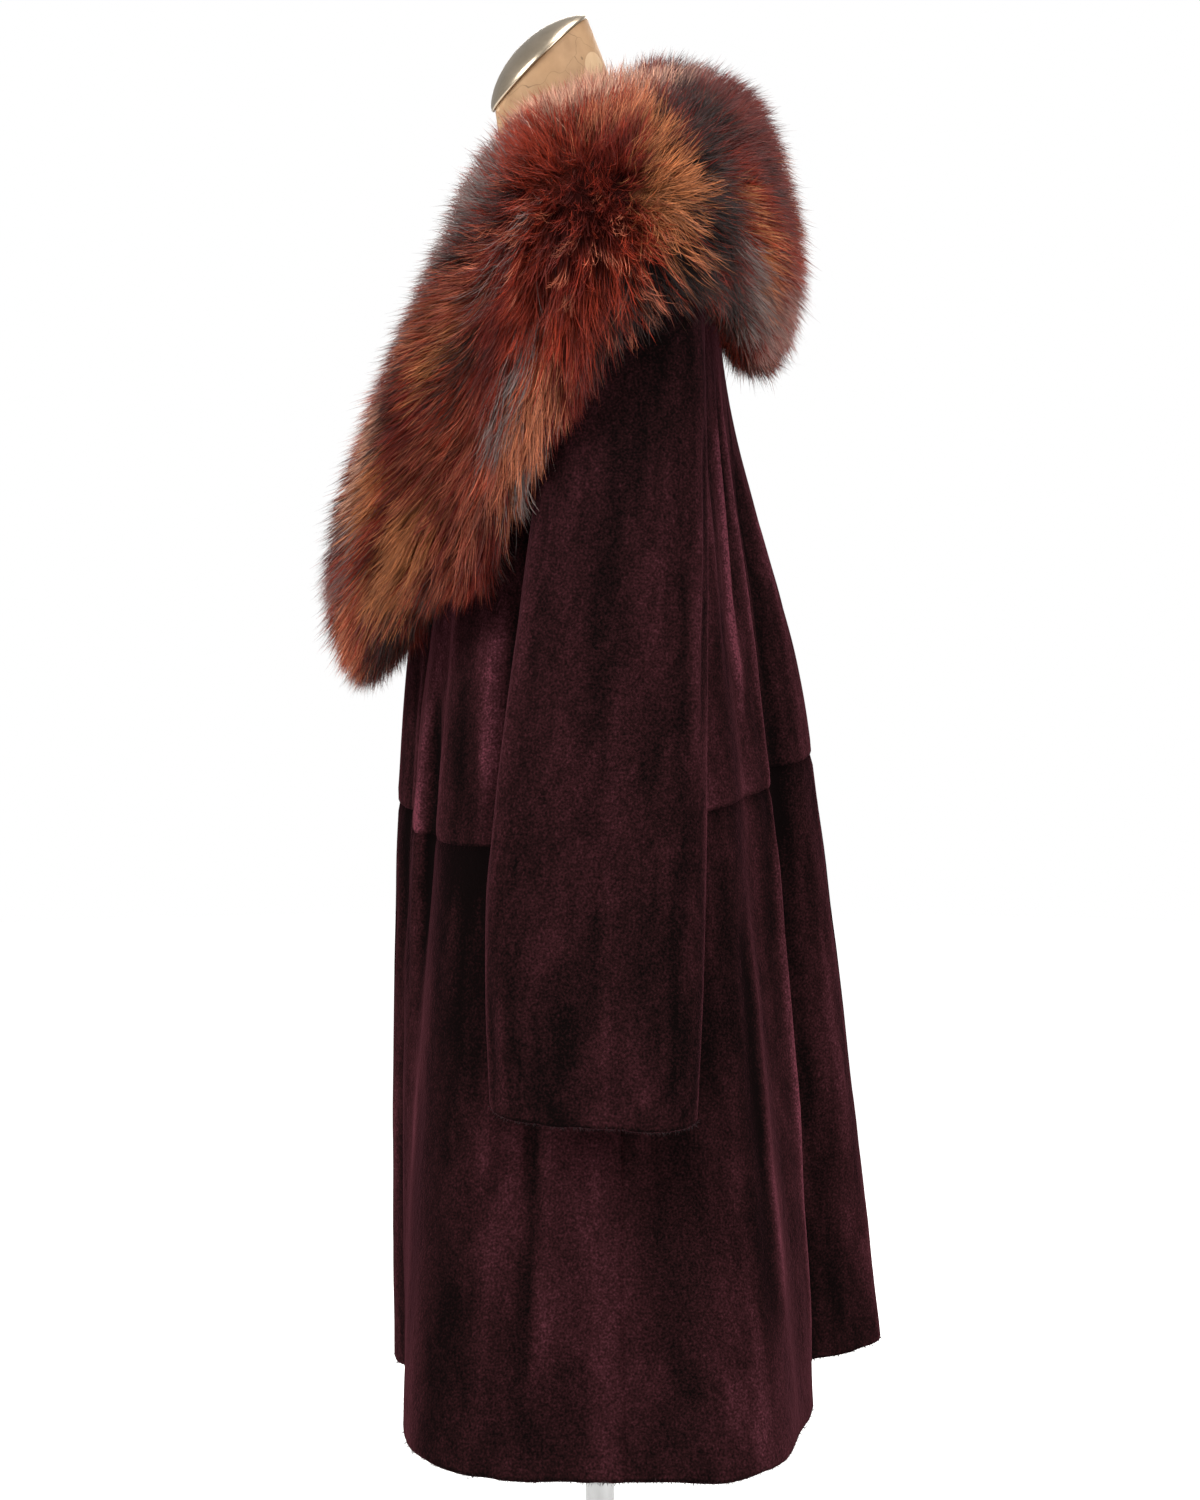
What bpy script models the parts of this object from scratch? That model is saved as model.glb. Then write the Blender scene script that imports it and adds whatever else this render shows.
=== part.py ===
"""Sheared mink swing coat with a long-haired shawl collar, worn by a limbless dress form.

Frame: +Z up, the floor is Z = 0, the pole of the stand is the Z axis, and the wearer faces -Y.
+X is the wearer's left. Everything is in metres.

The cloth is laid out in polar form about the pole. An angle runs round the wearer from the centre
front (0) over the left side (90 degrees) to the centre back (180), and a drop runs down the cloth:
0 at the neck edge, 1 where the shoulder has rounded over, and above 1 straight down to the hem.
"""

import math

import bmesh
import bpy
import numpy as np


def table(columns, *rows):
    """A table as its columns by name. The first column is the one it is read by."""
    return dict(zip(columns.split(), np.array(rows, dtype=float).T))


# ---------------------------------------------------------------- driving dimensions
PELT = 0.007  # leather, sheared pile and lining together
SEAM = 0.0003  # gap between two sewn pieces

KNEE_Z = 1.300  # height where the shoulder has rounded over
DROP_STEP = 0.200  # height that one unit of drop covers below the knee
HEM_ROW_Z = 0.419
HEM_LINE = table("angle height", (0, 0.419), (60, 0.421), (120, 0.423), (155, 0.429), (180, 0.436))
SIDE_SEAM = 93.0  # angle of the side and shoulder seams
FRONT_OPENING = 0.0010  # the fronts meet edge to edge, held by hidden hooks

# The skins are joined end to end at about hip height. The line dips at the sides.
JOIN_ROW_Z = 0.905
JOIN_LINE = table(
    "angle height", (0, 0.903), (40, 0.890), (75, 0.892), (110, 0.917), (145, 0.930), (180, 0.943)
)

# Plan of the coat, without its folds: half of an oval with squared corners at each height.
BODY_SECTIONS = table(
    "height half_width front back squareness",
    (0.415, 0.385, 0.160, 0.170, 4.3),
    (0.640, 0.315, 0.159, 0.160, 3.4),
    (0.800, 0.272, 0.156, 0.151, 2.9),
    (0.970, 0.238, 0.150, 0.139, 2.6),
    (1.100, 0.217, 0.138, 0.123, 2.3),
    (1.200, 0.206, 0.128, 0.110, 2.2),
    (1.300, 0.204, 0.112, 0.100, 2.2),
)

# Folds, on each side of the coat. The angle is from the centre front and drifts from the top of the
# fold to the hem. A positive depth is a ridge, and a negative one a hollow.
FOLD_COLUMNS = "angle_top angle_hem top full depth_full depth_hem width"
FOLDS_BOTH = table(
    FOLD_COLUMNS,
    (0.0, 0.0, 1.26, 1.00, 0.019, 0.018, 14.0),
    (180.0, 180.0, 1.30, 0.95, 0.037, 0.074, 19.0),
)
FOLDS_LEFT = table(
    FOLD_COLUMNS,
    (23.0, 22.0, 1.15, 0.95, -0.005, -0.006, 6.0),
    (37.0, 40.0, 1.15, 0.80, 0.009, 0.002, 6.5),
    (47.0, 48.0, 1.15, 0.95, -0.009, 0.000, 5.5),
    (60.0, 62.0, 1.15, 0.95, 0.005, 0.004, 9.0),
    (78.0, 76.0, 0.75, 0.50, -0.004, -0.006, 6.0),
    (104.0, 103.0, 0.75, 0.50, 0.004, 0.006, 7.0),
    (119.0, 113.0, 1.26, 1.10, 0.007, 0.000, 5.0),
    (127.0, 121.0, 1.26, 1.05, -0.006, -0.004, 4.5),
    (137.0, 131.0, 1.26, 1.00, 0.006, 0.008, 7.5),
    (154.0, 152.0, 1.28, 0.90, -0.016, -0.036, 9.5),
)
FOLDS_RIGHT = table(
    FOLD_COLUMNS,
    (21.0, 19.0, 1.15, 0.95, -0.004, -0.007, 6.5),
    (34.0, 36.0, 1.15, 0.85, 0.007, 0.004, 7.0),
    (50.0, 52.0, 1.15, 0.90, -0.007, -0.003, 6.5),
    (64.0, 66.0, 1.15, 0.95, 0.005, 0.007, 8.0),
    (82.0, 80.0, 0.75, 0.50, -0.004, -0.007, 7.0),
    (101.0, 100.0, 0.75, 0.50, 0.004, 0.005, 6.5),
    (121.0, 117.0, 1.26, 1.10, 0.006, 0.003, 5.5),
    (135.0, 130.0, 1.26, 1.00, 0.006, 0.007, 8.0),
    (153.0, 149.0, 1.28, 0.90, -0.015, -0.031, 9.0),
)

# Neck edge of the coat, measured from the pole.
NECK_SIDE_R, NECK_SIDE_Z = 0.076, 1.438
NECK_BACK_R, NECK_BACK_Z = 0.064, 1.446
NECK_FRONT_R, NECK_FRONT_Z = 0.092, 1.365
SHOULDER_ROUNDNESS = 2.0  # superellipse power of the shoulder's fall, front and back
SHOULDER_SQUARENESS = 3.0  # the same along the shoulder line
YOKE_DROPS = (0.0, 0.16, 0.33, 0.50)  # rows of the cut above the shoulder tip
BODY_DROPS = (1.75, 2.0, 2.3, 2.65)  # rows between the armpit and the joining seam

# Armhole, cut out of the front and back between the shoulder tip and the armpit.
ARM_TOP_DROP = 0.66
ARM_PIT_Z = 1.185
ARM_HALF_ANGLE = 17.5
ARM_ROUNDNESS = 0.62
ARM_SEAM = 0.0009  # gap between the sleeve and the armhole's edge

# Edge of the front from the neck to where the fronts meet: angle at each drop.
LAPEL = table("drop angle", (0, 52), (0.3, 38), (0.6, 27), (1, 15), (1.4, 5), (1.6, 1), (1.75, 0))

# Sleeve: outer and inner line seen from the front, front and back line seen from the side.
SLEEVE_RINGS = table(
    "outer_x outer_z inner_x inner_z front_y back_y",
    (0.226, 1.386, 0.2150, 1.190, -0.054, 0.080),
    (0.258, 1.350, 0.2195, 1.178, -0.052, 0.082),
    (0.279, 1.290, 0.2240, 1.158, -0.049, 0.083),
    (0.295, 1.215, 0.2290, 1.124, -0.050, 0.084),
    (0.310, 1.130, 0.2365, 1.070, -0.058, 0.084),
    (0.329, 1.020, 0.2510, 0.990, -0.071, 0.083),
    (0.353, 0.900, 0.2740, 0.885, -0.085, 0.081),
    (0.380, 0.790, 0.3040, 0.784, -0.086, 0.078),
    (0.404, 0.702, 0.3300, 0.696, -0.083, 0.074),
)
SLEEVE_SQUARENESS = 2.3
CUFF_BACK_DROP = 0.011  # the cuff is cut lower at the back

# Fur collar, in the upright plane at each angle. The skin lies on the coat from the drop at its neck
# edge to the height of its outer edge. The hair reaches as far as the outline through six points,
# each given by its distance from the pole and its height.
HAIR_KEYS = ("neck", "crest", "brow", "breast", "belly", "tip")
COLLAR_SECTIONS = table(
    "angle inner_drop outer_z neck_r neck_z crest_r crest_z brow_r brow_z"
    " breast_r breast_z belly_r belly_z tip_r tip_z",
    (0.0, 1.68, 1.045, 0.162, 1.182, 0.172, 1.188, 0.200, 1.150, 0.218, 1.090, 0.215, 1.045, 0.188, 1.014),
    (8.0, 1.34, 1.042, 0.147, 1.246, 0.158, 1.250, 0.191, 1.200, 0.221, 1.120, 0.223, 1.055, 0.197, 1.008),
    (15.0, 1.05, 1.045, 0.136, 1.312, 0.147, 1.320, 0.180, 1.262, 0.221, 1.160, 0.232, 1.075, 0.206, 1.010),
    (30.0, 0.58, 1.062, 0.109, 1.388, 0.121, 1.397, 0.157, 1.348, 0.220, 1.215, 0.251, 1.095, 0.228, 1.020),
    (45.0, 0.26, 1.088, 0.082, 1.448, 0.101, 1.455, 0.155, 1.403, 0.232, 1.270, 0.264, 1.125, 0.246, 1.048),
    (60.0, 0.07, 1.118, 0.066, 1.468, 0.096, 1.482, 0.184, 1.430, 0.258, 1.300, 0.276, 1.150, 0.256, 1.082),
    (72.0, 0.06, 1.150, 0.061, 1.477, 0.094, 1.491, 0.206, 1.450, 0.281, 1.330, 0.291, 1.180, 0.266, 1.104),
    (82.0, 0.06, 1.240, 0.058, 1.484, 0.093, 1.498, 0.214, 1.460, 0.302, 1.360, 0.316, 1.262, 0.302, 1.196),
    (93.0, 0.06, 1.318, 0.056, 1.489, 0.091, 1.502, 0.214, 1.465, 0.308, 1.382, 0.322, 1.325, 0.304, 1.285),
    (105.0, 0.06, 1.340, 0.055, 1.493, 0.089, 1.506, 0.208, 1.467, 0.298, 1.392, 0.312, 1.346, 0.296, 1.312),
    (120.0, 0.06, 1.325, 0.050, 1.497, 0.081, 1.511, 0.182, 1.472, 0.247, 1.385, 0.248, 1.328, 0.220, 1.296),
    (145.0, 0.06, 1.300, 0.038, 1.500, 0.068, 1.517, 0.146, 1.481, 0.188, 1.376, 0.182, 1.306, 0.155, 1.272),
    (180.0, 0.06, 1.290, 0.026, 1.500, 0.060, 1.519, 0.129, 1.488, 0.1625, 1.370, 0.157, 1.300, 0.131, 1.266),
)
SHOULDER_BED = table(  # line of the collar's skin where it rides over the sleeve head
    "share distance height",
    (0.00, 0.078, 1.4405),
    (0.20, 0.125, 1.436),
    (0.40, 0.168, 1.424),
    (0.58, 0.208, 1.409),
    (0.74, 0.242, 1.391),
    (0.87, 0.269, 1.366),
    (1.00, 0.287, 1.320),
)
SHOULDER_FROM, SHOULDER_TO = (64.0, 76.0), (123.0, 111.0)  # where that line starts and is whole
SHOULDER_REACH = 0.55  # share of that line above which it follows the collar's outer edge
COLLAR_LIFT = 0.0026  # the skin's clearance over the curved shoulders
COLLAR_STATIONS = 28
COLLAR_HAIR_POINTS = 13
COLLAR_BED_POINTS = 17

# Dress form below the knee of the shoulder, and its neck.
FORM_SECTIONS = table(
    "height half_width front back",
    (1.272, 0.183, 0.098, 0.088),
    (1.235, 0.171, 0.107, 0.091),
    (1.190, 0.154, 0.108, 0.091),
    (1.120, 0.138, 0.092, 0.084),
    (1.040, 0.120, 0.080, 0.076),
    (0.960, 0.136, 0.088, 0.090),
    (0.880, 0.160, 0.097, 0.108),
    (0.800, 0.168, 0.098, 0.112),
    (0.760, 0.164, 0.094, 0.106),
    (0.745, 0.152, 0.084, 0.095),
)
FORM_SQUARENESS = 2.2
FORM_REST_ROWS = 7  # rows of the coat's own cut that the form's shoulders follow
FORM_REST = 0.0022  # clearance there, which the facets take up
NECK_ROWS = table(
    "front_y front_z back_y back_z half_width",
    (-0.0876, 1.4805, -0.0105, 1.5565, 0.0505),
    (-0.0862, 1.4700, 0.0030, 1.5220, 0.0510),
    (-0.0845, 1.4560, 0.0170, 1.4890, 0.0530),
    (-0.0850, 1.4320, 0.0350, 1.4590, 0.0580),
)
CAP_DOME = 0.0205
CAP_CROWN = 1.5  # 1 would be an ellipse, and 2 a parabola
CAP_LIP = 0.0022
CAP_RIM = 0.0025
CAP_TURNS = (16, 32, 48, 64, 78)

POLE_R = 0.0125
FLANGE_R = 0.045
FLANGE_H = 0.012
BASE_R = 0.180
BASE_H = 0.008
BASE_EDGE = 0.002
SOCKET_R = 0.028
SOCKET_H = 0.050
SOCKET_COLLAR = 0.012  # straight height of the socket, below its cone
SOCKET_LIP = 0.004

# ---------------------------------------------------------------- grid density
RING_FORM = 32
RING_ROUND = 32
FRONT_STRIPS = 14
BACK_STRIPS = 16
ARM_ROWS = 10  # rows between the shoulder tip and the armpit
LOWER_SHARES = np.array((0.0, 0.14, 0.30, 0.48, 0.66, 0.84, 1.0))
SHARP_ANGLE = math.radians(50)

COLOURS = {
    "pelt": ((0.085, 0.022, 0.032), 0.85, 0.0),
    "fur": ((0.28, 0.06, 0.03), 0.9, 0.0),
    "linen": ((0.55, 0.36, 0.20), 0.7, 0.0),
    "steel": ((0.55, 0.54, 0.50), 0.3, 1.0),
}


# ---------------------------------------------------------------- the surface of the coat
def smooth_table(rows, at, column):
    """A column of a table, read between its rows on a smooth curve through them."""
    knots = next(iter(rows.values()))
    values = rows[column]
    slopes = np.gradient(values, knots)
    at = np.clip(at, knots[0], knots[-1])
    left = np.clip(np.searchsorted(knots, at, side="right") - 1, 0, len(knots) - 2)
    span = knots[left + 1] - knots[left]
    share = (at - knots[left]) / span
    rise = share * share * (3 - 2 * share)
    lead = share * (1 - share) ** 2
    trail = share * share * (share - 1)
    bend = span * (lead * slopes[left] + trail * slopes[left + 1])
    return values[left] * (1 - rise) + values[left + 1] * rise + bend


def rows_of(columns):
    return zip(*columns.values())


def ease(share):
    """A share that starts and ends softly."""
    share = np.clip(share, 0.0, 1.0)
    return share * share * (3 - 2 * share)


def oval_radius(angle, half_width, front, back, squareness):
    """Distance from the pole to an oval with squared corners, in the direction of the angle."""
    depth = np.where(np.cos(angle) > 0, front, back)
    across = np.abs(np.sin(angle) / half_width) ** squareness
    along = np.abs(np.cos(angle) / depth) ** squareness
    return (across + along) ** (-1.0 / squareness)


def fold_offset(angle, height):
    """How far the folds move the cloth away from the pole."""
    degrees = np.degrees(angle)
    side = np.where(np.sin(angle) >= 0, 1.0, -1.0)
    turned = np.where(side > 0, degrees, 360.0 - degrees)
    total = np.zeros(np.broadcast(angle, height).shape)
    for folds, wanted in ((FOLDS_BOTH, 0.0), (FOLDS_LEFT, 1.0), (FOLDS_RIGHT, -1.0)):
        for angle_top, angle_hem, top, full, depth_full, depth_hem, width in rows_of(folds):
            fall = np.clip((top - height) / (top - HEM_ROW_Z), 0.0, 1.0)
            centre = angle_top + (angle_hem - angle_top) * fall
            grown = ease((top - height) / (top - full))
            late = np.clip((full - height) / (full - HEM_ROW_Z), 0.0, 1.0)
            depth = grown * depth_full + late * (depth_hem - depth_full)
            bump = depth * np.exp(-(((turned - centre) / width) ** 2))
            total = total + np.where((wanted == 0.0) | (side == wanted), bump, 0.0)
    return total


def hem_height(angle):
    return smooth_table(HEM_LINE, np.degrees(angle), "height")


def join_height(angle):
    return smooth_table(JOIN_LINE, np.degrees(angle), "height")


def drop_of(height):
    return 1.0 + (KNEE_Z - height) / DROP_STEP


def coat_point(angle, drop):
    """Point of the coat's outside at an angle (radians) and a drop."""
    angle, drop = np.broadcast_arrays(np.asarray(angle, float), np.asarray(drop, float))
    angle = np.mod(angle, 2 * math.pi)
    back = np.maximum(-np.cos(angle), 0.0) ** 2
    front = np.maximum(np.cos(angle), 0.0) ** 1.5
    neck_r = NECK_SIDE_R + back * (NECK_BACK_R - NECK_SIDE_R) + front * (NECK_FRONT_R - NECK_SIDE_R)
    neck_z = NECK_SIDE_Z + back * (NECK_BACK_Z - NECK_SIDE_Z) + front * (NECK_FRONT_Z - NECK_SIDE_Z)
    square = SHOULDER_ROUNDNESS + (SHOULDER_SQUARENESS - SHOULDER_ROUNDNESS) * np.sin(angle) ** 2
    turn = np.clip(drop, 0.0, 1.0) * math.pi / 2
    height = np.where(drop > 1.0, KNEE_Z - (drop - 1.0) * DROP_STEP, KNEE_Z)
    oval = [smooth_table(BODY_SECTIONS, height, name) for name in list(BODY_SECTIONS)[1:]]
    below = oval_radius(angle, *oval) + fold_offset(angle, height)
    power = 2.0 / square
    dome_r = neck_r + (below - neck_r) * np.sin(turn) ** power
    dome_z = KNEE_Z + (neck_z - KNEE_Z) * np.maximum(np.cos(turn), 0.0) ** power
    radius = np.where(drop > 1.0, below, dome_r)
    level = np.where(drop > 1.0, height, dome_z)
    return np.stack([radius * np.sin(angle), -radius * np.cos(angle), level], axis=-1)


def coat_normal(angle, drop):
    """Outward direction of the coat's surface."""
    step = 1e-3
    around = coat_point(angle + step, drop) - coat_point(angle - step, drop)
    safe = np.maximum(drop, 2 * step)
    down = coat_point(angle, safe + step) - coat_point(angle, safe - step)
    across = np.cross(down, around)
    return across / np.linalg.norm(across, axis=-1, keepdims=True)


def off_coat(angle, drop, distance):
    """Point that lies this far outside the coat's surface, or inside it if negative."""
    return coat_point(angle, drop) + coat_normal(angle, drop) * distance


# ---------------------------------------------------------------- mesh making
def material(slot):
    found = bpy.data.materials.get(slot)
    if found is None:
        colour, roughness, metallic = COLOURS[slot]
        found = bpy.data.materials.new(slot)
        found.use_nodes = True
        shader = found.node_tree.nodes["Principled BSDF"]
        shader.inputs["Base Color"].default_value = (*colour, 1.0)
        shader.inputs["Roughness"].default_value = roughness
        shader.inputs["Metallic"].default_value = metallic
    return found


def add_object(name, points, faces, slot):
    mesh = bpy.data.meshes.new(name)
    mesh.from_pydata([tuple(p) for p in points], [], faces)
    work = bmesh.new()
    work.from_mesh(mesh)
    bmesh.ops.remove_doubles(work, verts=work.verts, dist=1e-6)
    bmesh.ops.recalc_face_normals(work, faces=work.faces)
    work.to_mesh(mesh)
    work.free()
    mesh.materials.append(material(slot))
    mesh.shade_smooth()
    mesh.set_sharp_from_angle(angle=SHARP_ANGLE)
    made = bpy.data.objects.new(name, mesh)
    bpy.context.scene.collection.objects.link(made)
    return made


def strip_faces(rows, columns, first, wrap):
    """Quads of a grid of points whose numbers start at first."""
    faces = []
    for i in range(rows - 1):
        for j in range(columns if wrap else columns - 1):
            right = (j + 1) % columns
            low, high = first + i * columns, first + (i + 1) * columns
            faces.append((low + j, low + right, high + right, high + j))
    return faces


def rim_faces(path, other):
    return [(path[i], path[i + 1], other[i + 1], other[i]) for i in range(len(path) - 1)]


def wall(name, outer, inner, slot, wrap=False):
    """Closed cloth of the thickness between two grids of points."""
    rows, columns = outer.shape[:2]
    count = rows * columns
    faces = strip_faces(rows, columns, 0, wrap) + strip_faces(rows, columns, count, wrap)
    number = np.arange(count).reshape(rows, columns)
    edges = [number[0], number[-1]]
    if wrap:
        edges = [np.append(edge, edge[0]) for edge in edges]
    else:
        edges += [number[:, 0], number[:, -1]]
    for edge in edges:
        faces += rim_faces(edge.tolist(), (edge + count).tolist())
    points = np.concatenate([outer.reshape(-1, 3), inner.reshape(-1, 3)])
    return add_object(name, points, faces, slot)


def lofted(name, rings, slot):
    """Closed solid through rings of points, with a flat face at each end."""
    rings = np.asarray(rings)
    rows, columns = rings.shape[:2]
    count = rows * columns
    faces = strip_faces(rows, columns, 0, True)
    faces += [tuple(range(columns)), tuple(range(count - columns, count))]
    return add_object(name, rings.reshape(-1, 3), faces, slot)


# ---------------------------------------------------------------- coat panels
ARM_PIT_DROP = drop_of(ARM_PIT_Z)


def arm_shares():
    """Steps from the shoulder tip to the armpit, closer together at both ends."""
    even = np.linspace(0.0, 1.0, ARM_ROWS + 1)
    return 0.5 * even + 0.5 * (1 - np.cos(math.pi * even)) / 2


def upper_drops():
    arm = ARM_TOP_DROP + (ARM_PIT_DROP - ARM_TOP_DROP) * arm_shares()
    return np.concatenate([YOKE_DROPS, arm, BODY_DROPS])


def arm_open_angle(drop):
    """Half of the armhole's angle at a drop, 0 above the shoulder tip and below the armpit."""
    share = np.clip((drop - ARM_TOP_DROP) / (ARM_PIT_DROP - ARM_TOP_DROP), 0.0, 1.0)
    return ARM_HALF_ANGLE * np.sin(math.pi * share) ** ARM_ROUNDNESS


def half_gap(gap, point):
    """Angle, in radians, that half of a gap takes at that point."""
    return gap / 2 / np.hypot(point[..., 0], point[..., 1])


def panel_angles(drops, part, strips):
    """Angles of a left panel's grid: a row for each drop, from its front edge to its back edge."""
    opening = np.radians(arm_open_angle(drops))
    side = np.full(len(drops), math.radians(SIDE_SEAM))
    if part == "front":
        first = np.radians(np.interp(drops, LAPEL["drop"], LAPEL["angle"]))
        first = first + half_gap(FRONT_OPENING, coat_point(first, drops))
        last = side - opening - half_gap(SEAM, coat_point(side, drops))
    else:
        first = side + opening + half_gap(SEAM, coat_point(side, drops))
        centre = np.full(len(drops), math.pi)
        last = centre - half_gap(SEAM, coat_point(centre, drops))
    share = np.linspace(0.0, 1.0, strips + 1)
    return first[:, None] + (last - first)[:, None] * share[None, :]


def panel(name, part, level, side):
    """One cut piece of the coat's body. The right side has the left one's cut and its own folds."""
    strips = FRONT_STRIPS if part == "front" else BACK_STRIPS
    if level == "upper":
        level_rows = np.append(upper_drops(), drop_of(JOIN_ROW_Z))
        angles = panel_angles(level_rows, part, strips)
        reach = drop_of(join_height(angles[-1:])) - SEAM / 2 / DROP_STEP - level_rows[-1]
        bend = ease((level_rows - ARM_PIT_DROP) / (level_rows[-1] - ARM_PIT_DROP))
        drops = level_rows[:, None] + bend[:, None] * reach
    else:
        start = drop_of(JOIN_ROW_Z)
        end = drop_of(HEM_ROW_Z)
        angles = panel_angles(start + (end - start) * LOWER_SHARES, part, strips)
        seam = drop_of(join_height(angles)) + SEAM / 2 / DROP_STEP
        hem = drop_of(hem_height(angles))
        drops = seam + (hem - seam) * LOWER_SHARES[:, None]
    if side == "right":
        angles = 2 * math.pi - angles
    outer = coat_point(angles, drops)
    inner = off_coat(angles, drops, -PELT)
    return wall(name, outer, inner, "pelt")


# ---------------------------------------------------------------- sleeves
def armhole_ring(distance):
    """Points of the armhole's edge, from the shoulder tip down the front to the armpit and back up."""
    shares = arm_shares()
    shares = np.concatenate([shares, shares[-2:0:-1]])
    side = np.concatenate([-np.ones(ARM_ROWS + 1), np.ones(ARM_ROWS - 1)])
    drop = ARM_TOP_DROP + (ARM_PIT_DROP - ARM_TOP_DROP) * shares
    edge = coat_point(np.full(len(drop), math.radians(SIDE_SEAM)), drop)
    half = np.radians(arm_open_angle(drop))
    half = np.maximum(half - ARM_SEAM / np.hypot(edge[:, 0], edge[:, 1]), 0.0)
    middle = (ARM_TOP_DROP + ARM_PIT_DROP) / 2
    height = (ARM_PIT_DROP - ARM_TOP_DROP) / 2 * DROP_STEP
    drop = middle + (drop - middle) * (1 - 2 * ARM_SEAM / height)
    angle = math.radians(SIDE_SEAM) + side * half
    return off_coat(angle, drop, distance)


def sleeve_ring(row, shrink):
    """An oval ring of the sleeve, smaller all round by shrink."""
    outer_x, outer_z, inner_x, inner_z, front_y, back_y = row
    turn = np.linspace(0.0, 2 * math.pi, 2 * ARM_ROWS, endpoint=False)
    middle = np.array([(outer_x + inner_x) / 2, (front_y + back_y) / 2, (outer_z + inner_z) / 2])
    reach = np.array([(outer_x - inner_x) / 2, 0.0, (outer_z - inner_z) / 2])
    length = np.linalg.norm(reach)
    out = reach / length
    power = 2.0 / SLEEVE_SQUARENESS
    up = np.sign(np.cos(turn)) * np.abs(np.cos(turn)) ** power * (length - shrink)
    fore = -np.sign(np.sin(turn)) * np.abs(np.sin(turn)) ** power * ((back_y - front_y) / 2 - shrink)
    return middle + up[:, None] * out + fore[:, None] * np.array([0.0, 1.0, 0.0])


def sleeve(name, side):
    outer = [armhole_ring(0.0)]
    inner = [armhole_ring(-PELT)]
    for row in rows_of(SLEEVE_RINGS):
        outer.append(sleeve_ring(row, 0.0))
        inner.append(sleeve_ring(row, PELT))
    for ring in (outer[-1], inner[-1]):
        share = (ring[:, 1] - ring[:, 1].min()) / np.ptp(ring[:, 1])
        ring[:, 2] -= CUFF_BACK_DROP * share
    outer, inner = np.array(outer), np.array(inner)
    if side == "right":
        outer[..., 0] *= -1
        inner[..., 0] *= -1
    return wall(name, outer, inner, "pelt", wrap=True)


# ---------------------------------------------------------------- fur collar
def collar_bed(degrees, inner_drop, outer_z, count):
    """Line of the collar's skin on the coat, as (distance, height) from the neck to its outer edge."""
    angle = math.radians(degrees)
    outer_drop = drop_of(outer_z)
    if outer_z > KNEE_Z:
        over_shoulder = np.linspace(0.0, 1.0, 201)
        falling = -coat_point(angle, over_shoulder)[:, 2]
        outer_drop = float(np.interp(-outer_z, falling, over_shoulder))
    share = np.linspace(0.0, 1.0, count)
    drops = inner_drop + (outer_drop - inner_drop) * share
    points = off_coat(angle, drops, COLLAR_LIFT)
    line = np.stack([np.hypot(points[:, 0], points[:, 1]), points[:, 2]], axis=-1)
    over = np.stack([smooth_table(SHOULDER_BED, share, name) for name in ("distance", "height")], axis=-1)
    late = ease((share - SHOULDER_REACH) / (1 - SHOULDER_REACH))
    over[:, 1] += (outer_z - SHOULDER_BED["height"][-1]) * late
    begin = ease((degrees - SHOULDER_FROM[0]) / (SHOULDER_FROM[1] - SHOULDER_FROM[0]))
    finish = ease((degrees - SHOULDER_TO[0]) / (SHOULDER_TO[1] - SHOULDER_TO[0]))
    return line + (over - line) * min(begin, finish)


def through(points, count):
    """Points evenly spaced along a smooth curve through the given ones, ends included."""
    points = np.asarray(points)
    padded = np.concatenate([[2 * points[0] - points[1]], points, [2 * points[-1] - points[-2]]])
    fine = []
    for i in range(len(points) - 1):
        a, b, c, d = padded[i : i + 4]
        t = np.linspace(0.0, 1.0, 24, endpoint=False)[:, None]
        fine.append(
            0.5 * (2 * b + (c - a) * t + (2 * a - 5 * b + 4 * c - d) * t**2 + (3 * b - a - 3 * c + d) * t**3)
        )
    fine = np.concatenate(fine + [points[-1:]])
    run = np.concatenate([[0.0], np.cumsum(np.linalg.norm(np.diff(fine, axis=0), axis=1))])
    at = np.linspace(0.0, run[-1], count)
    return np.stack([np.interp(at, run, fine[:, k]) for k in range(points.shape[1])], axis=-1)


def collar_section(degrees):
    """Closed outline of the collar at an angle: over the hair, and back along the coat underneath."""
    at = {name: float(smooth_table(COLLAR_SECTIONS, degrees, name)) for name in COLLAR_SECTIONS}
    bed = collar_bed(degrees, at["inner_drop"], at["outer_z"], COLLAR_BED_POINTS)
    keys = [(at[key + "_r"], at[key + "_z"]) for key in HAIR_KEYS]
    hair = through([bed[0], *keys, bed[-1]], COLLAR_HAIR_POINTS)
    outline = np.concatenate([hair, bed[-2:0:-1]])
    angle = math.radians(degrees)
    radius, height = outline[:, 0], outline[:, 1]
    return np.stack([radius * math.sin(angle), -radius * math.cos(angle), height], axis=-1)


def collar_half(name, side):
    rings = np.array([collar_section(degrees) for degrees in np.linspace(0.0, 180.0, COLLAR_STATIONS)])
    rings[0, :, 0] = rings[-1, :, 0] = SEAM / 2
    if side == "right":
        rings[..., 0] *= -1
    return lofted(name, rings, "fur")


# ---------------------------------------------------------------- dress form and stand
def form_ring(height, half_width, front, back):
    angle = np.linspace(0.0, 2 * math.pi, RING_FORM, endpoint=False)
    radius = oval_radius(angle, half_width, front, back, FORM_SQUARENESS)
    level = np.full(RING_FORM, height)
    return np.stack([radius * np.sin(angle), -radius * np.cos(angle), level], axis=-1)


def neck_ring(front_y, front_z, back_y, back_z, half_width, grow=0.0):
    angle = np.linspace(0.0, 2 * math.pi, RING_FORM, endpoint=False)
    middle = np.array([0.0, (front_y + back_y) / 2, (front_z + back_z) / 2])
    back = np.array([0.0, back_y - front_y, back_z - front_z]) / 2
    length = np.linalg.norm(back)
    across = np.array([half_width + grow, 0.0, 0.0])
    reach = back / length * (length + grow)
    return middle + np.sin(angle)[:, None] * across - np.cos(angle)[:, None] * reach


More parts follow.
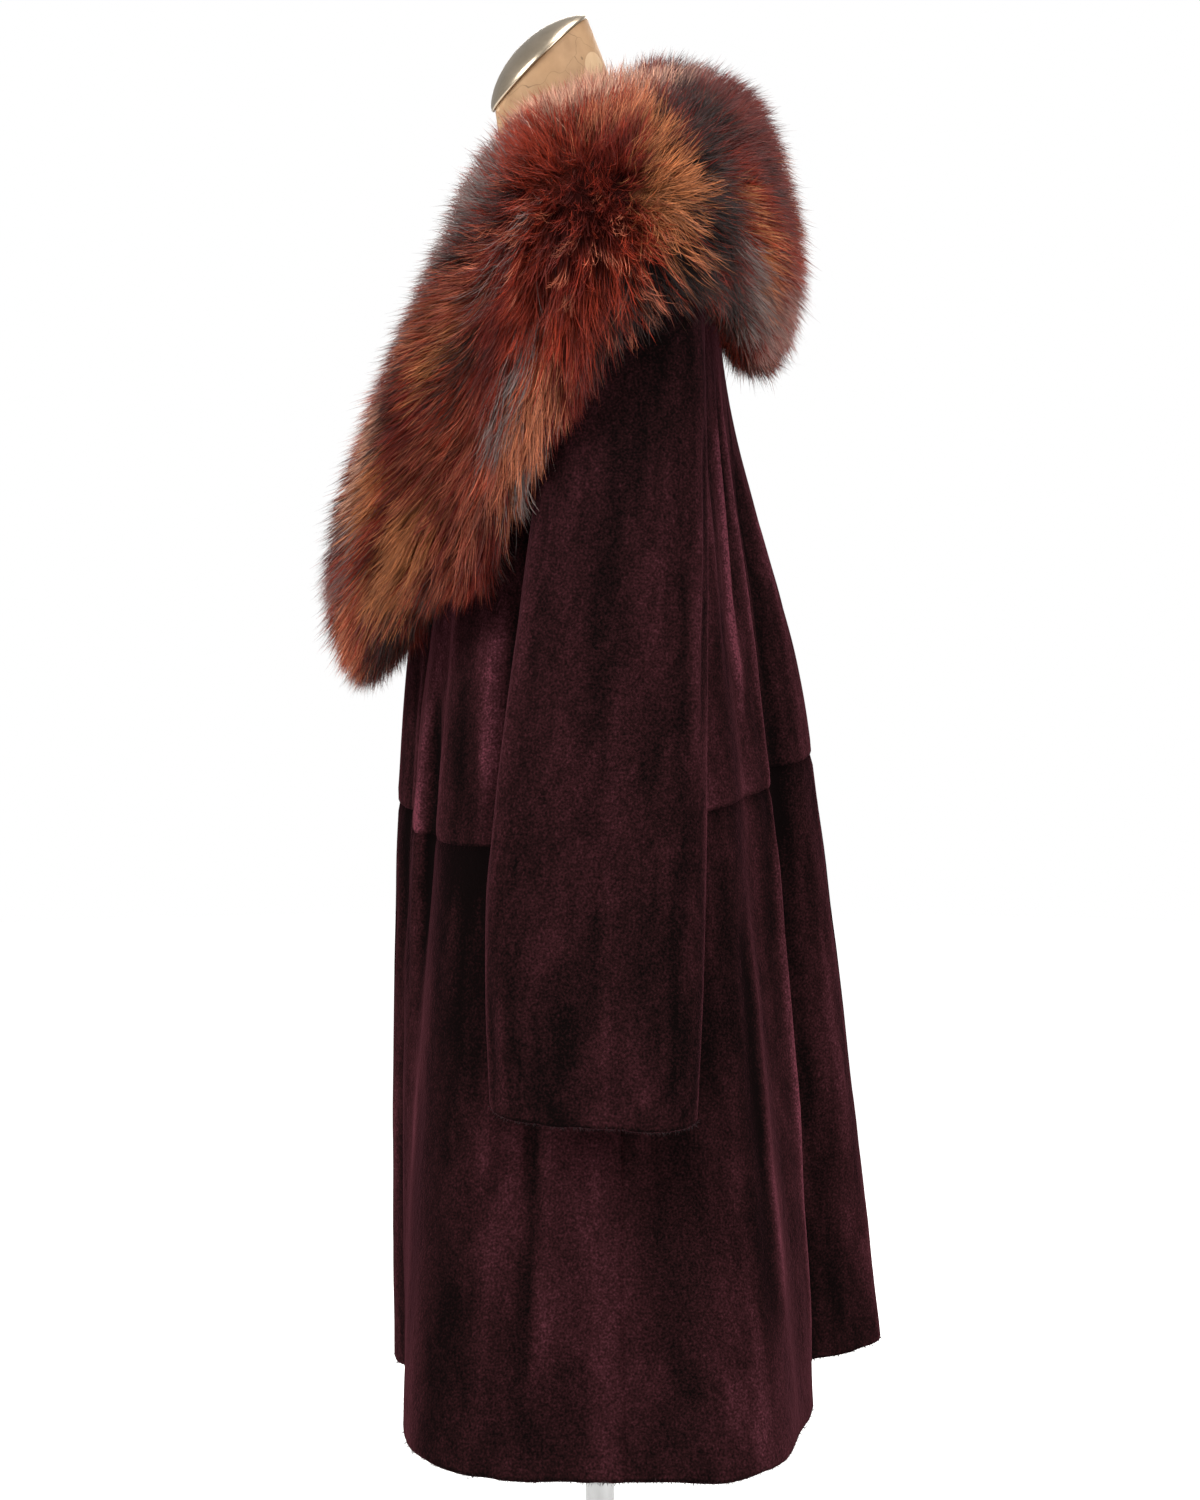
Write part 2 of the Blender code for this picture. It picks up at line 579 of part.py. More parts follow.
def form_torso():
    """Neck, shoulders, bust and hips in one smooth solid. The coat hangs on its shoulders."""
    rings = [neck_ring(*row) for row in rows_of(NECK_ROWS)]
    angle = np.linspace(0.0, 2 * math.pi, RING_FORM, endpoint=False)
    for drop in upper_drops()[:FORM_REST_ROWS]:
        rings.append(off_coat(angle, drop, -PELT - FORM_REST))
    rings += [form_ring(*row) for row in rows_of(FORM_SECTIONS)]
    return lofted("form_torso", rings, "linen")


def neck_cap():
    """Domed metal cap that closes the neck, tilted as the neck is cut."""
    cut = next(rows_of(NECK_ROWS))
    top = neck_ring(*cut)
    middle = top.mean(0)
    back = top[RING_FORM // 2] - top[0]
    up = np.cross(np.array([1.0, 0.0, 0.0]), back)
    up = up / np.linalg.norm(up)
    rim = neck_ring(*cut, grow=CAP_LIP) + up * SEAM
    rings = [rim, rim + up * CAP_RIM]
    for degrees in CAP_TURNS:
        turn = math.radians(degrees)
        level = middle + up * (SEAM + CAP_RIM + CAP_DOME * math.sin(turn) ** CAP_CROWN)
        rings.append(level + (rim - up * SEAM - middle) * math.cos(turn))
    return lofted("neck_cap", rings, "steel")


def turned(name, profile, slot):
    """Solid turned round the pole's axis from (radius, height) pairs."""
    angle = np.linspace(0.0, 2 * math.pi, RING_ROUND, endpoint=False)
    circle = np.stack([np.cos(angle), np.sin(angle), np.zeros(RING_ROUND)], axis=-1)
    lift = np.array([0.0, 0.0, 1.0])
    return lofted(name, [circle * radius + lift * height for radius, height in profile], slot)


def stand():
    flange_top = FORM_SECTIONS["height"][-1] - SEAM
    flange_low = flange_top - FLANGE_H
    socket_low = BASE_H + SEAM
    socket_top = socket_low + SOCKET_H
    socket = (
        (POLE_R + SOCKET_LIP, socket_top),
        (SOCKET_R, socket_low + SOCKET_COLLAR),
        (SOCKET_R, socket_low),
    )
    base = ((BASE_R - BASE_EDGE, BASE_H), (BASE_R, BASE_H - BASE_EDGE), (BASE_R, 0.0))
    turned("form_flange", ((FLANGE_R, flange_top), (FLANGE_R, flange_low)), "steel")
    turned("stand_pole", ((POLE_R, flange_low - SEAM), (POLE_R, socket_top + SEAM)), "steel")
    turned("stand_socket", socket, "steel")
    turned("stand_base", base, "steel")


def build():
    for old in list(bpy.data.objects):
        bpy.data.objects.remove(old)
    for side in ("left", "right"):
        for part in ("front", "back"):
            for level in ("upper", "lower"):
                panel(f"{part}_{level}_{side}", part, level, side)
        sleeve(f"sleeve_{side}", side)
        collar_half(f"collar_{side}", side)
    form_torso()
    neck_cap()
    stand()


build()
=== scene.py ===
"""Looks of a sheared mink coat with a long-haired shawl collar, worn by a limbless dress form.

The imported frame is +Z up with the floor at Z = 0. The wearer faces -Y and +X is the wearer's left.
The cloth is laid out as its solids are: an angle from the centre front (0) over the side (90) to
the centre back (180), and a drop down the cloth, 0 at the neck edge and 1 at the shoulder's knee.
"""

import math

import bpy
import numpy as np
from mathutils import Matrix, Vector


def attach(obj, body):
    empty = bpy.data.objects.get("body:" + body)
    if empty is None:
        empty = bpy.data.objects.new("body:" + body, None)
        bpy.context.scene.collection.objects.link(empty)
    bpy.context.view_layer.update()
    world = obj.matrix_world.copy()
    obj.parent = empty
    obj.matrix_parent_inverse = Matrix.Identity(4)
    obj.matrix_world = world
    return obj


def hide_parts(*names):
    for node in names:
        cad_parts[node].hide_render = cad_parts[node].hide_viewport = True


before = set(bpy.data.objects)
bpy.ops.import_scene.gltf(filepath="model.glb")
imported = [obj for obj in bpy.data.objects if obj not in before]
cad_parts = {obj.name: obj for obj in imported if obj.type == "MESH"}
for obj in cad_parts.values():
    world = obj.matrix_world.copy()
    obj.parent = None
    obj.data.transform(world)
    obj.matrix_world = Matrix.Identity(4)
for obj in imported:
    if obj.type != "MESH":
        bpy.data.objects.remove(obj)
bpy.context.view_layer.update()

SIGN = {"left": 1.0, "right": -1.0}


def table(columns, *rows):
    """A table as its columns by name. The first column is the one it is read by."""
    return dict(zip(columns.split(), np.array(rows, dtype=float).T))


# ---------------------------------------------------------------- the coat's cut, as its solids have it
PELT = 0.007  # thickness of the skins with their pile
SEAM = 0.0003
KNEE_Z = 1.300  # the shoulder's curve ends here, and the body begins
DROP_STEP = 0.200  # length of body to a drop of 1
HEM_ROW_Z = 0.419
HEM_LINE = table("angle height", (0, 0.419), (60, 0.421), (120, 0.423), (155, 0.429), (180, 0.436))
SIDE_SEAM = 93.0
FRONT_OPENING = 0.0002  # the pile closes the solids' 1 mm to a hairline
JOIN_ROW_Z = 0.905
JOIN_LINE = table(
    "angle height", (0, 0.903), (40, 0.890), (75, 0.892), (110, 0.917), (145, 0.930), (180, 0.943)
)
BODY_SECTIONS = table(
    "height half_width front back squareness",
    (0.415, 0.385, 0.160, 0.170, 4.3),
    (0.640, 0.315, 0.159, 0.160, 3.4),
    (0.800, 0.272, 0.156, 0.151, 2.9),
    (0.970, 0.238, 0.150, 0.139, 2.6),
    (1.100, 0.217, 0.138, 0.123, 2.3),
    (1.200, 0.206, 0.128, 0.110, 2.2),
    (1.300, 0.204, 0.112, 0.100, 2.2),
)
FOLD_COLUMNS = "angle_top angle_hem top full depth_full depth_hem width"
FOLDS_BOTH = table(
    FOLD_COLUMNS,
    (0.0, 0.0, 1.26, 1.00, 0.019, 0.018, 14.0),
    (180.0, 180.0, 1.30, 0.95, 0.037, 0.074, 19.0),
)
FOLDS_LEFT = table(
    FOLD_COLUMNS,
    (23.0, 22.0, 1.15, 0.95, -0.005, -0.006, 6.0),
    (37.0, 40.0, 1.15, 0.80, 0.009, 0.002, 6.5),
    (47.0, 48.0, 1.15, 0.95, -0.009, 0.000, 5.5),
    (60.0, 62.0, 1.15, 0.95, 0.005, 0.004, 9.0),
    (78.0, 76.0, 0.75, 0.50, -0.004, -0.006, 6.0),
    (104.0, 103.0, 0.75, 0.50, 0.004, 0.006, 7.0),
    (119.0, 113.0, 1.26, 1.10, 0.007, 0.000, 5.0),
    (127.0, 121.0, 1.26, 1.05, -0.006, -0.004, 4.5),
    (137.0, 131.0, 1.26, 1.00, 0.006, 0.008, 7.5),
    (154.0, 152.0, 1.28, 0.90, -0.016, -0.036, 9.5),
)
FOLDS_RIGHT = table(
    FOLD_COLUMNS,
    (21.0, 19.0, 1.15, 0.95, -0.004, -0.007, 6.5),
    (34.0, 36.0, 1.15, 0.85, 0.007, 0.004, 7.0),
    (50.0, 52.0, 1.15, 0.90, -0.007, -0.003, 6.5),
    (64.0, 66.0, 1.15, 0.95, 0.005, 0.007, 8.0),
    (82.0, 80.0, 0.75, 0.50, -0.004, -0.007, 7.0),
    (101.0, 100.0, 0.75, 0.50, 0.004, 0.005, 6.5),
    (121.0, 117.0, 1.26, 1.10, 0.006, 0.003, 5.5),
    (135.0, 130.0, 1.26, 1.00, 0.006, 0.007, 8.0),
    (153.0, 149.0, 1.28, 0.90, -0.015, -0.031, 9.0),
)

# Creases finer than the solids' folds, each a soft line from its upper to its lower end.
CREASE_COLUMNS = "angle_top angle_low top low depth width"
CREASES_LEFT = table(
    CREASE_COLUMNS,
    (16.0, 9.0, 1.06, 0.74, -0.0035, 2.2),
    (28.0, 30.0, 1.05, 0.86, 0.0025, 2.6),
    (44.0, 47.0, 1.03, 0.76, -0.0050, 1.8),
    (40.5, 42.5, 1.02, 0.84, 0.0030, 1.6),
    (36.0, 42.0, 0.90, 0.72, -0.0030, 1.7),
    (51.0, 53.0, 1.12, 0.88, 0.0022, 2.6),
    (66.5, 68.5, 1.10, 0.90, 0.0045, 3.0),
    (72.0, 73.0, 1.10, 0.86, -0.0030, 2.6),
    (57.0, 60.0, 0.72, 0.46, -0.0022, 3.0),
    (80.5, 80.5, 0.74, 0.46, -0.0032, 1.1),
    (82.8, 82.8, 0.74, 0.46, 0.0014, 1.6),
    (90.0, 91.0, 0.70, 0.45, 0.0022, 5.0),
    (110.0, 109.0, 1.20, 0.75, 0.0022, 2.4),
    (123.5, 119.0, 1.26, 0.98, -0.0032, 1.3),
    (130.5, 126.0, 1.27, 0.95, 0.0034, 1.7),
    (134.0, 129.0, 1.27, 1.02, -0.0030, 1.3),
    (139.0, 132.0, 1.27, 0.60, 0.0030, 2.2),
    (135.5, 131.5, 0.93, 0.44, 0.0036, 2.4),
    (118.0, 113.5, 0.86, 0.50, -0.0034, 1.6),
    (121.0, 117.0, 0.84, 0.48, 0.0030, 1.8),
    (147.0, 140.0, 1.26, 0.85, -0.0032, 1.9),
    (161.0, 160.0, 1.20, 0.70, -0.0040, 2.5),
    (170.0, 168.0, 1.20, 0.50, 0.0030, 4.0),
)
CREASES_RIGHT = table(
    CREASE_COLUMNS,
    (14.0, 8.0, 1.04, 0.70, -0.0032, 2.4),
    (27.0, 29.0, 1.07, 0.84, 0.0025, 2.4),
    (41.0, 45.0, 1.04, 0.72, -0.0045, 1.9),
    (37.0, 40.0, 1.00, 0.82, 0.0028, 1.8),
    (55.0, 57.0, 1.10, 0.80, 0.0026, 2.8),
    (69.0, 71.0, 1.11, 0.88, 0.0040, 3.2),
    (75.0, 75.0, 1.08, 0.70, -0.0026, 2.4),
    (62.0, 64.0, 0.72, 0.45, -0.0024, 3.2),
    (86.0, 87.0, 0.70, 0.44, 0.0024, 4.5),
    (112.0, 111.0, 1.18, 0.70, 0.0024, 2.6),
    (126.0, 121.0, 1.26, 0.92, -0.0030, 1.5),
    (132.0, 127.0, 1.27, 0.98, 0.0032, 1.8),
    (141.0, 135.0, 1.26, 0.66, 0.0028, 2.4),
    (146.0, 141.0, 1.26, 0.88, -0.0034, 1.8),
    (163.0, 161.0, 1.20, 0.62, -0.0036, 2.8),
    (171.0, 170.0, 1.20, 0.55, 0.0028, 3.6),
)
CREASE_FADE = 0.07  # length over which a crease dies away at each end
CREASE_WANDER, WANDER_LENGTH = 0.5, 0.09  # how far a crease strays, in its widths, and over what length
KNEE_FADE = 0.15  # length below the knee over which the cloth's unevenness grows
# Noises on the cloth: strength, lumps' degrees and metres, shifts on the left half, and seed.
UNEVEN = ((0.0016, 7.0, 0.16, 0, 11, 1), (0.0006, 2.6, 0.045, 0, 7, 2))

NECK_SIDE_R, NECK_SIDE_Z = 0.076, 1.438
NECK_BACK_R, NECK_BACK_Z = 0.064, 1.446
NECK_FRONT_R, NECK_FRONT_Z = 0.092, 1.365
SHOULDER_ROUNDNESS = 2.0
SHOULDER_SQUARENESS = 3.0
ARM_TOP_DROP = 0.66
ARM_PIT_Z = 1.185
ARM_HALF_ANGLE = 17.5
ARM_ROUNDNESS = 0.62
ARM_SEAM = 0.0009
LAPEL = table("drop angle", (0, 52), (0.3, 38), (0.6, 27), (1, 15), (1.4, 5), (1.6, 1), (1.75, 0))
SLEEVE_RINGS = table(
    "outer_x outer_z inner_x inner_z front_y back_y",
    (0.226, 1.386, 0.2150, 1.190, -0.054, 0.080),
    (0.258, 1.350, 0.2195, 1.178, -0.052, 0.082),
    (0.279, 1.290, 0.2240, 1.158, -0.049, 0.083),
    (0.295, 1.215, 0.2290, 1.124, -0.050, 0.084),
    (0.310, 1.130, 0.2365, 1.070, -0.058, 0.084),
    (0.329, 1.020, 0.2510, 0.990, -0.071, 0.083),
    (0.353, 0.900, 0.2740, 0.885, -0.085, 0.081),
    (0.380, 0.790, 0.3040, 0.784, -0.086, 0.078),
    (0.404, 0.702, 0.3300, 0.696, -0.083, 0.074),
)
SLEEVE_SQUARENESS = 2.3
CUFF_BACK_DROP = 0.011
CUFF_CORNER = 0.006  # how far the cuff's edge rounds up at its front and back

COLLAR_SECTIONS = table(
    "angle inner_drop outer_z neck_r neck_z crest_r crest_z brow_r brow_z"
    " breast_r breast_z belly_r belly_z tip_r tip_z",
    (0.0, 1.68, 1.045, 0.162, 1.182, 0.172, 1.188, 0.200, 1.150, 0.218, 1.090, 0.215, 1.045, 0.188, 1.014),
    (8.0, 1.34, 1.042, 0.147, 1.246, 0.158, 1.250, 0.191, 1.200, 0.221, 1.120, 0.223, 1.055, 0.197, 1.008),
    (15.0, 1.05, 1.045, 0.136, 1.312, 0.147, 1.320, 0.180, 1.262, 0.221, 1.160, 0.232, 1.075, 0.206, 1.010),
    (30.0, 0.58, 1.062, 0.109, 1.388, 0.121, 1.397, 0.157, 1.348, 0.220, 1.215, 0.251, 1.095, 0.228, 1.020),
    (45.0, 0.26, 1.088, 0.082, 1.448, 0.101, 1.455, 0.155, 1.403, 0.232, 1.270, 0.264, 1.125, 0.246, 1.048),
    (60.0, 0.07, 1.118, 0.066, 1.468, 0.096, 1.482, 0.184, 1.430, 0.258, 1.300, 0.276, 1.150, 0.256, 1.082),
    (72.0, 0.06, 1.150, 0.061, 1.477, 0.094, 1.491, 0.206, 1.450, 0.281, 1.330, 0.291, 1.180, 0.266, 1.104),
    (82.0, 0.06, 1.240, 0.058, 1.484, 0.093, 1.498, 0.214, 1.460, 0.302, 1.360, 0.316, 1.262, 0.302, 1.196),
    (93.0, 0.06, 1.318, 0.056, 1.489, 0.091, 1.502, 0.214, 1.465, 0.308, 1.382, 0.322, 1.325, 0.304, 1.285),
    (105.0, 0.06, 1.340, 0.055, 1.493, 0.089, 1.506, 0.208, 1.467, 0.298, 1.392, 0.312, 1.346, 0.296, 1.312),
    (120.0, 0.06, 1.325, 0.050, 1.497, 0.081, 1.511, 0.182, 1.472, 0.247, 1.385, 0.248, 1.328, 0.220, 1.296),
    (145.0, 0.06, 1.300, 0.038, 1.500, 0.068, 1.517, 0.146, 1.481, 0.188, 1.376, 0.182, 1.306, 0.155, 1.272),
    (180.0, 0.06, 1.290, 0.026, 1.500, 0.060, 1.519, 0.129, 1.488, 0.1625, 1.370, 0.157, 1.300, 0.131, 1.266),
)
HAIR_KEYS = ("neck", "crest", "brow", "breast", "belly", "tip")
SHOULDER_BED = table(
    "share distance height",
    (0.00, 0.078, 1.4405),
    (0.20, 0.125, 1.436),
    (0.40, 0.168, 1.424),
    (0.58, 0.208, 1.409),
    (0.74, 0.242, 1.391),
    (0.87, 0.269, 1.366),
    (1.00, 0.287, 1.320),
)
SHOULDER_FROM, SHOULDER_TO = (64.0, 76.0), (123.0, 111.0)
SHOULDER_REACH = 0.55
SHOULDER_TRIES = 201  # heights tried over the shoulder for the collar's outer edge
COLLAR_LIFT = 0.0026

FORM_SECTIONS = table(
    "height half_width front back",
    (1.272, 0.183, 0.098, 0.088),
    (1.235, 0.171, 0.107, 0.091),
    (1.190, 0.154, 0.108, 0.091),
    (1.120, 0.138, 0.092, 0.084),
    (1.040, 0.120, 0.080, 0.076),
    (0.960, 0.136, 0.088, 0.090),
    (0.880, 0.160, 0.097, 0.108),
    (0.800, 0.168, 0.098, 0.112),
    (0.760, 0.164, 0.094, 0.106),
    (0.745, 0.152, 0.084, 0.095),
)
FORM_SQUARENESS = 2.2
YOKE_DROPS = (0.0, 0.16, 0.33, 0.50)
FORM_REST = 0.0022
NECK_ROWS = table(
    "front_y front_z back_y back_z half_width",
    (-0.0876, 1.4805, -0.0105, 1.5565, 0.0505),
    (-0.0862, 1.4700, 0.0030, 1.5220, 0.0510),
    (-0.0845, 1.4560, 0.0170, 1.4890, 0.0530),
    (-0.0850, 1.4320, 0.0350, 1.4590, 0.0580),
)


# ---------------------------------------------------------------- curves, noise and the coat's surface
def smooth_table(rows, at, column):
    """A column of a table, read between its rows on a smooth curve through them."""
    knots = next(iter(rows.values()))
    values = rows[column]
    slopes = np.gradient(values, knots)
    at = np.clip(at, knots[0], knots[-1])
    left = np.clip(np.searchsorted(knots, at, side="right") - 1, 0, len(knots) - 2)
    span = knots[left + 1] - knots[left]
    share = (at - knots[left]) / span
    rise = share * share * (3 - 2 * share)
    lead = share * (1 - share) ** 2
    trail = share * share * (share - 1)
    bend = span * (lead * slopes[left] + trail * slopes[left + 1])
    return values[left] * (1 - rise) + values[left + 1] * rise + bend


def rows_of(columns):
    return zip(*columns.values())


def ease(share):
    """A share that starts and ends softly."""
    share = np.clip(share, 0.0, 1.0)
    return share * share * (3 - 2 * share)


def unit(vectors):
    return vectors / np.maximum(np.linalg.norm(vectors, axis=-1, keepdims=True), 1e-9)


CURVE_STEPS = 24  # steps of a smooth curve from one of its points to the next
NOISE_SIZE = 64
_lattices = {}


def soft_noise(u, v, seed):
    """Smooth noise from -1 to 1 with lumps one unit wide."""
    if seed not in _lattices:
        _lattices[seed] = np.random.default_rng(seed).uniform(-1.0, 1.0, (NOISE_SIZE, NOISE_SIZE))
    lattice = _lattices[seed]
    u, v = np.broadcast_arrays(np.asarray(u, float), np.asarray(v, float))
    column, row = np.floor(u).astype(int), np.floor(v).astype(int)
    across, down = ease(u - column), ease(v - row)
    steps = ((0, 0), (1, 0), (0, 1), (1, 1))
    corners = [lattice[(column + i) % NOISE_SIZE, (row + j) % NOISE_SIZE] for i, j in steps]
    top = corners[0] * (1 - across) + corners[1] * across
    low = corners[2] * (1 - across) + corners[3] * across
    return top * (1 - down) + low * down


def layers(noises, turned, height, side_sign, total=0.0):
    """Noises added to a total, from rows such as those of UNEVEN."""
    for strength, degrees, metres, shift_round, shift_along, seed in noises:
        u, v = turned / degrees + shift_round * side_sign, height / metres + shift_along * side_sign
        total = total + strength * soft_noise(u, v, seed)
    return total


def soft_ridge(turned, centre, width):
    """Height of a soft ridge of 1 that runs down the cloth, across its line."""
    return np.exp(-(((turned - centre) / width) ** 2))


def crease_course(height, ends, top, low, fade):
    """Middle of a crease at each height, between the angles of its ends, and how fully it stands out."""
    fall = np.clip((top - height) / (top - low), 0.0, 1.0)
    inside = ease((top - height) / fade) * ease((height - low) / fade)
    return ends[0] + (ends[1] - ends[0]) * fall, inside


def round_angles(count):
    return np.linspace(0.0, 2 * math.pi, count, endpoint=False)


def circle(count):
    """Points round the pole's axis, 1 away from it."""
    angle = round_angles(count)
    return np.stack([np.cos(angle), np.sin(angle), np.zeros(count)], axis=-1)


def oval_radius(angle, half_width, front, back, squareness):
    """Radius of an oval with a depth of its own in front and behind. 2 is round, and more is squarer."""
    depth = np.where(np.cos(angle) > 0, front, back)
    across = np.abs(np.sin(angle) / half_width) ** squareness
    along = np.abs(np.cos(angle) / depth) ** squareness
    return (across + along) ** (-1.0 / squareness)


def by_side(angle):
    """Degrees from the centre front on either side, and 1 on the left and -1 on the right."""
    degrees = np.degrees(angle)
    side = np.where(np.sin(angle) >= 0, 1.0, -1.0)
    return np.where(side > 0, degrees, 360.0 - degrees), side


def fold_offset(angle, height):
    """How far the solids' folds move the cloth away from the pole."""
    turned, side = by_side(angle)
    total = np.zeros(np.broadcast(angle, height).shape)
    for folds, wanted in ((FOLDS_BOTH, 0.0), (FOLDS_LEFT, 1.0), (FOLDS_RIGHT, -1.0)):
        for angle_top, angle_hem, top, full, depth_full, depth_hem, width in rows_of(folds):
            fall = np.clip((top - height) / (top - HEM_ROW_Z), 0.0, 1.0)
            centre = angle_top + (angle_hem - angle_top) * fall
            grown = ease((top - height) / (top - full))
            late = np.clip((full - height) / (full - HEM_ROW_Z), 0.0, 1.0)
            depth = grown * depth_full + late * (depth_hem - depth_full)
            bump = depth * soft_ridge(turned, centre, width)
            total = total + np.where((wanted == 0.0) | (side == wanted), bump, 0.0)
    return total


def crease_offset(angle, height):
    """The finer creases, and the slight unevenness of a heavy fur that hangs."""
    turned, side = by_side(angle)
    total = np.zeros(np.broadcast(angle, height).shape)
    for creases, wanted in ((CREASES_LEFT, 1.0), (CREASES_RIGHT, -1.0)):
        for angle_top, angle_low, top, low, depth, width in rows_of(creases):
            centre, inside = crease_course(height, (angle_top, angle_low), top, low, CREASE_FADE)
            centre = centre + CREASE_WANDER * width * soft_noise(height / WANDER_LENGTH, angle_top, 5)
            bump = depth * inside * soft_ridge(turned, centre, width)
            total = total + np.where(side == wanted, bump, 0.0)
    return total + ease((KNEE_Z - height) / KNEE_FADE) * layers(UNEVEN, turned, height, side)


def hem_height(angle):
    return smooth_table(HEM_LINE, np.degrees(angle), "height")


def join_height(angle):
    return smooth_table(JOIN_LINE, np.degrees(angle), "height")


def drop_of(height):
    return 1.0 + (KNEE_Z - height) / DROP_STEP


def coat_point(angle, drop, creased=False):
    """Point of the coat's outside at an angle (radians) and a drop."""
    angle, drop = np.broadcast_arrays(np.asarray(angle, float), np.asarray(drop, float))
    angle = np.mod(angle, 2 * math.pi)
    back = np.maximum(-np.cos(angle), 0.0) ** 2
    front = np.maximum(np.cos(angle), 0.0) ** 1.5
    neck_r = NECK_SIDE_R + back * (NECK_BACK_R - NECK_SIDE_R) + front * (NECK_FRONT_R - NECK_SIDE_R)
    neck_z = NECK_SIDE_Z + back * (NECK_BACK_Z - NECK_SIDE_Z) + front * (NECK_FRONT_Z - NECK_SIDE_Z)
    square = SHOULDER_ROUNDNESS + (SHOULDER_SQUARENESS - SHOULDER_ROUNDNESS) * np.sin(angle) ** 2
    turn = np.clip(drop, 0.0, 1.0) * math.pi / 2
    height = np.where(drop > 1.0, KNEE_Z - (drop - 1.0) * DROP_STEP, KNEE_Z)
    oval = [smooth_table(BODY_SECTIONS, height, name) for name in list(BODY_SECTIONS)[1:]]
    below = oval_radius(angle, *oval) + fold_offset(angle, height)
    if creased:
        below = below + crease_offset(angle, height)
    power = 2.0 / square
    dome_r = neck_r + (below - neck_r) * np.sin(turn) ** power
    dome_z = KNEE_Z + (neck_z - KNEE_Z) * np.maximum(np.cos(turn), 0.0) ** power
    radius = np.where(drop > 1.0, below, dome_r)
    level = np.where(drop > 1.0, height, dome_z)
    return np.stack([radius * np.sin(angle), -radius * np.cos(angle), level], axis=-1)


def coat_normal(angle, drop, creased=False):
    step = 2e-3
    around = coat_point(angle + step, drop, creased) - coat_point(angle - step, drop, creased)
    safe = np.maximum(drop, 2 * step)
    down = coat_point(angle, safe + step, creased) - coat_point(angle, safe - step, creased)
    return unit(np.cross(down, around))


def off_coat(angle, drop, distance, creased=False):
    return coat_point(angle, drop, creased) + coat_normal(angle, drop, creased) * distance


def smooth_rings(rings, between):
    """Rings, or points, on a smooth curve through the given ones, with this many steps between two."""
    rings = np.asarray(rings)
    padded = np.concatenate([[2 * rings[0] - rings[1]], rings, [2 * rings[-1] - rings[-2]]])
    made = []
    for a, b, c, d in zip(padded, padded[1:], padded[2:], padded[3:]):
        bend, twist = 2 * a - 5 * b + 4 * c - d, 3 * b - a - 3 * c + d
        for t in np.linspace(0.0, 1.0, between, endpoint=False):
            made.append(0.5 * (2 * b + (c - a) * t + bend * t**2 + twist * t**3))
    return np.array(made + [rings[-1]])


def lengths_along(line):
    """How far each point of a line lies from its first one."""
    return np.concatenate([[0.0], np.cumsum(np.linalg.norm(np.diff(line, axis=0), axis=1))])


def through(points, count):
    """Points evenly spaced along a smooth curve through the given ones, ends included."""
    fine = smooth_rings(points, CURVE_STEPS)
    run = lengths_along(fine)
    at = np.linspace(0.0, run[-1], count)
    return np.stack([np.interp(at, run, fine[:, k]) for k in range(fine.shape[1])], axis=-1)


# ---------------------------------------------------------------- meshes
def add_mesh(name, points, quads, triangles=()):
    """A smooth-shaded mesh object from arrays of points and of faces."""
    quads = np.asarray(quads, dtype=np.int32).reshape(-1, 4)
    triangles = np.asarray(triangles, dtype=np.int32).reshape(-1, 3)
    mesh = bpy.data.meshes.new(name)
    points = np.asarray(points, dtype=np.float32).reshape(-1, 3)
    mesh.vertices.add(len(points))
    mesh.vertices.foreach_set("co", points.ravel())
    corners = np.concatenate([quads.ravel(), triangles.ravel()])
    mesh.loops.add(len(corners))
    mesh.loops.foreach_set("vertex_index", corners)
    starts = np.concatenate([np.arange(len(quads)) * 4, len(quads) * 4 + np.arange(len(triangles)) * 3])
    mesh.polygons.add(len(starts))
    mesh.polygons.foreach_set("loop_start", starts.astype(np.int32))
    mesh.polygons.foreach_set("use_smooth", np.ones(len(starts), bool))
    mesh.update(calc_edges=True)
    made = bpy.data.objects.new(name, mesh)
    bpy.context.scene.collection.objects.link(made)
    return made


def grid_faces(number):
    """Faces of a grid of points, from the points' numbers."""
    corners = [number[:-1, :-1], number[:-1, 1:], number[1:, 1:], number[1:, :-1]]
    return np.stack(corners, axis=-1).reshape(-1, 4)


def closed_round(grid):
    """A grid with its first column repeated after its last one."""
    return np.concatenate([grid, grid[:, :1]], axis=1)


def ring_faces(rows, columns):
    """Faces of rings of points, numbered ring by ring."""
    return grid_faces(closed_round(np.arange(rows * columns).reshape(rows, columns)))


def set_float(made, name, values):
    layer = made.data.attributes.new(name, "FLOAT", "POINT")
    layer.data.foreach_set("value", np.asarray(values, np.float32).ravel())


def set_colour(made, name, colours):
    layer = made.data.attributes.new(name, "FLOAT_COLOR", "POINT")
    colours = np.asarray(colours, np.float32).reshape(-1, 3)
    full = np.concatenate([colours, np.ones((len(colours), 1), np.float32)], axis=1)
    layer.data.foreach_set("color", full.ravel())


def turn_outward(made):
    """Makes a closed mesh's faces point out of it."""
    mesh = made.data
    mesh.calc_loop_triangles()
    count = len(mesh.loop_triangles)
    corners = np.zeros(count * 3, np.int32)
    mesh.loop_triangles.foreach_get("vertices", corners)
    points = np.zeros(len(mesh.vertices) * 3, np.float32)
    mesh.vertices.foreach_get("co", points)
    a, b, c = points.reshape(-1, 3)[corners.reshape(-1, 3)].transpose(1, 0, 2).astype(float)
    if np.einsum("ij,ij->i", a, np.cross(b, c)).sum() < 0:
        mesh.flip_normals()
    return made


EDGE_STEPS = 3  # rows that round off a cut edge


def half_round(outer, inner, away):
    """Rows that round off the edge between the two sides of a wall."""
    middle, half = (outer + inner) / 2, (outer - inner) / 2
    reach = np.linalg.norm(half, axis=-1, keepdims=True)
    turns = np.linspace(0.0, math.pi, EDGE_STEPS + 2)[1:-1]
    return np.array([middle + half * math.cos(t) + unit(away) * reach * math.sin(t) for t in turns])


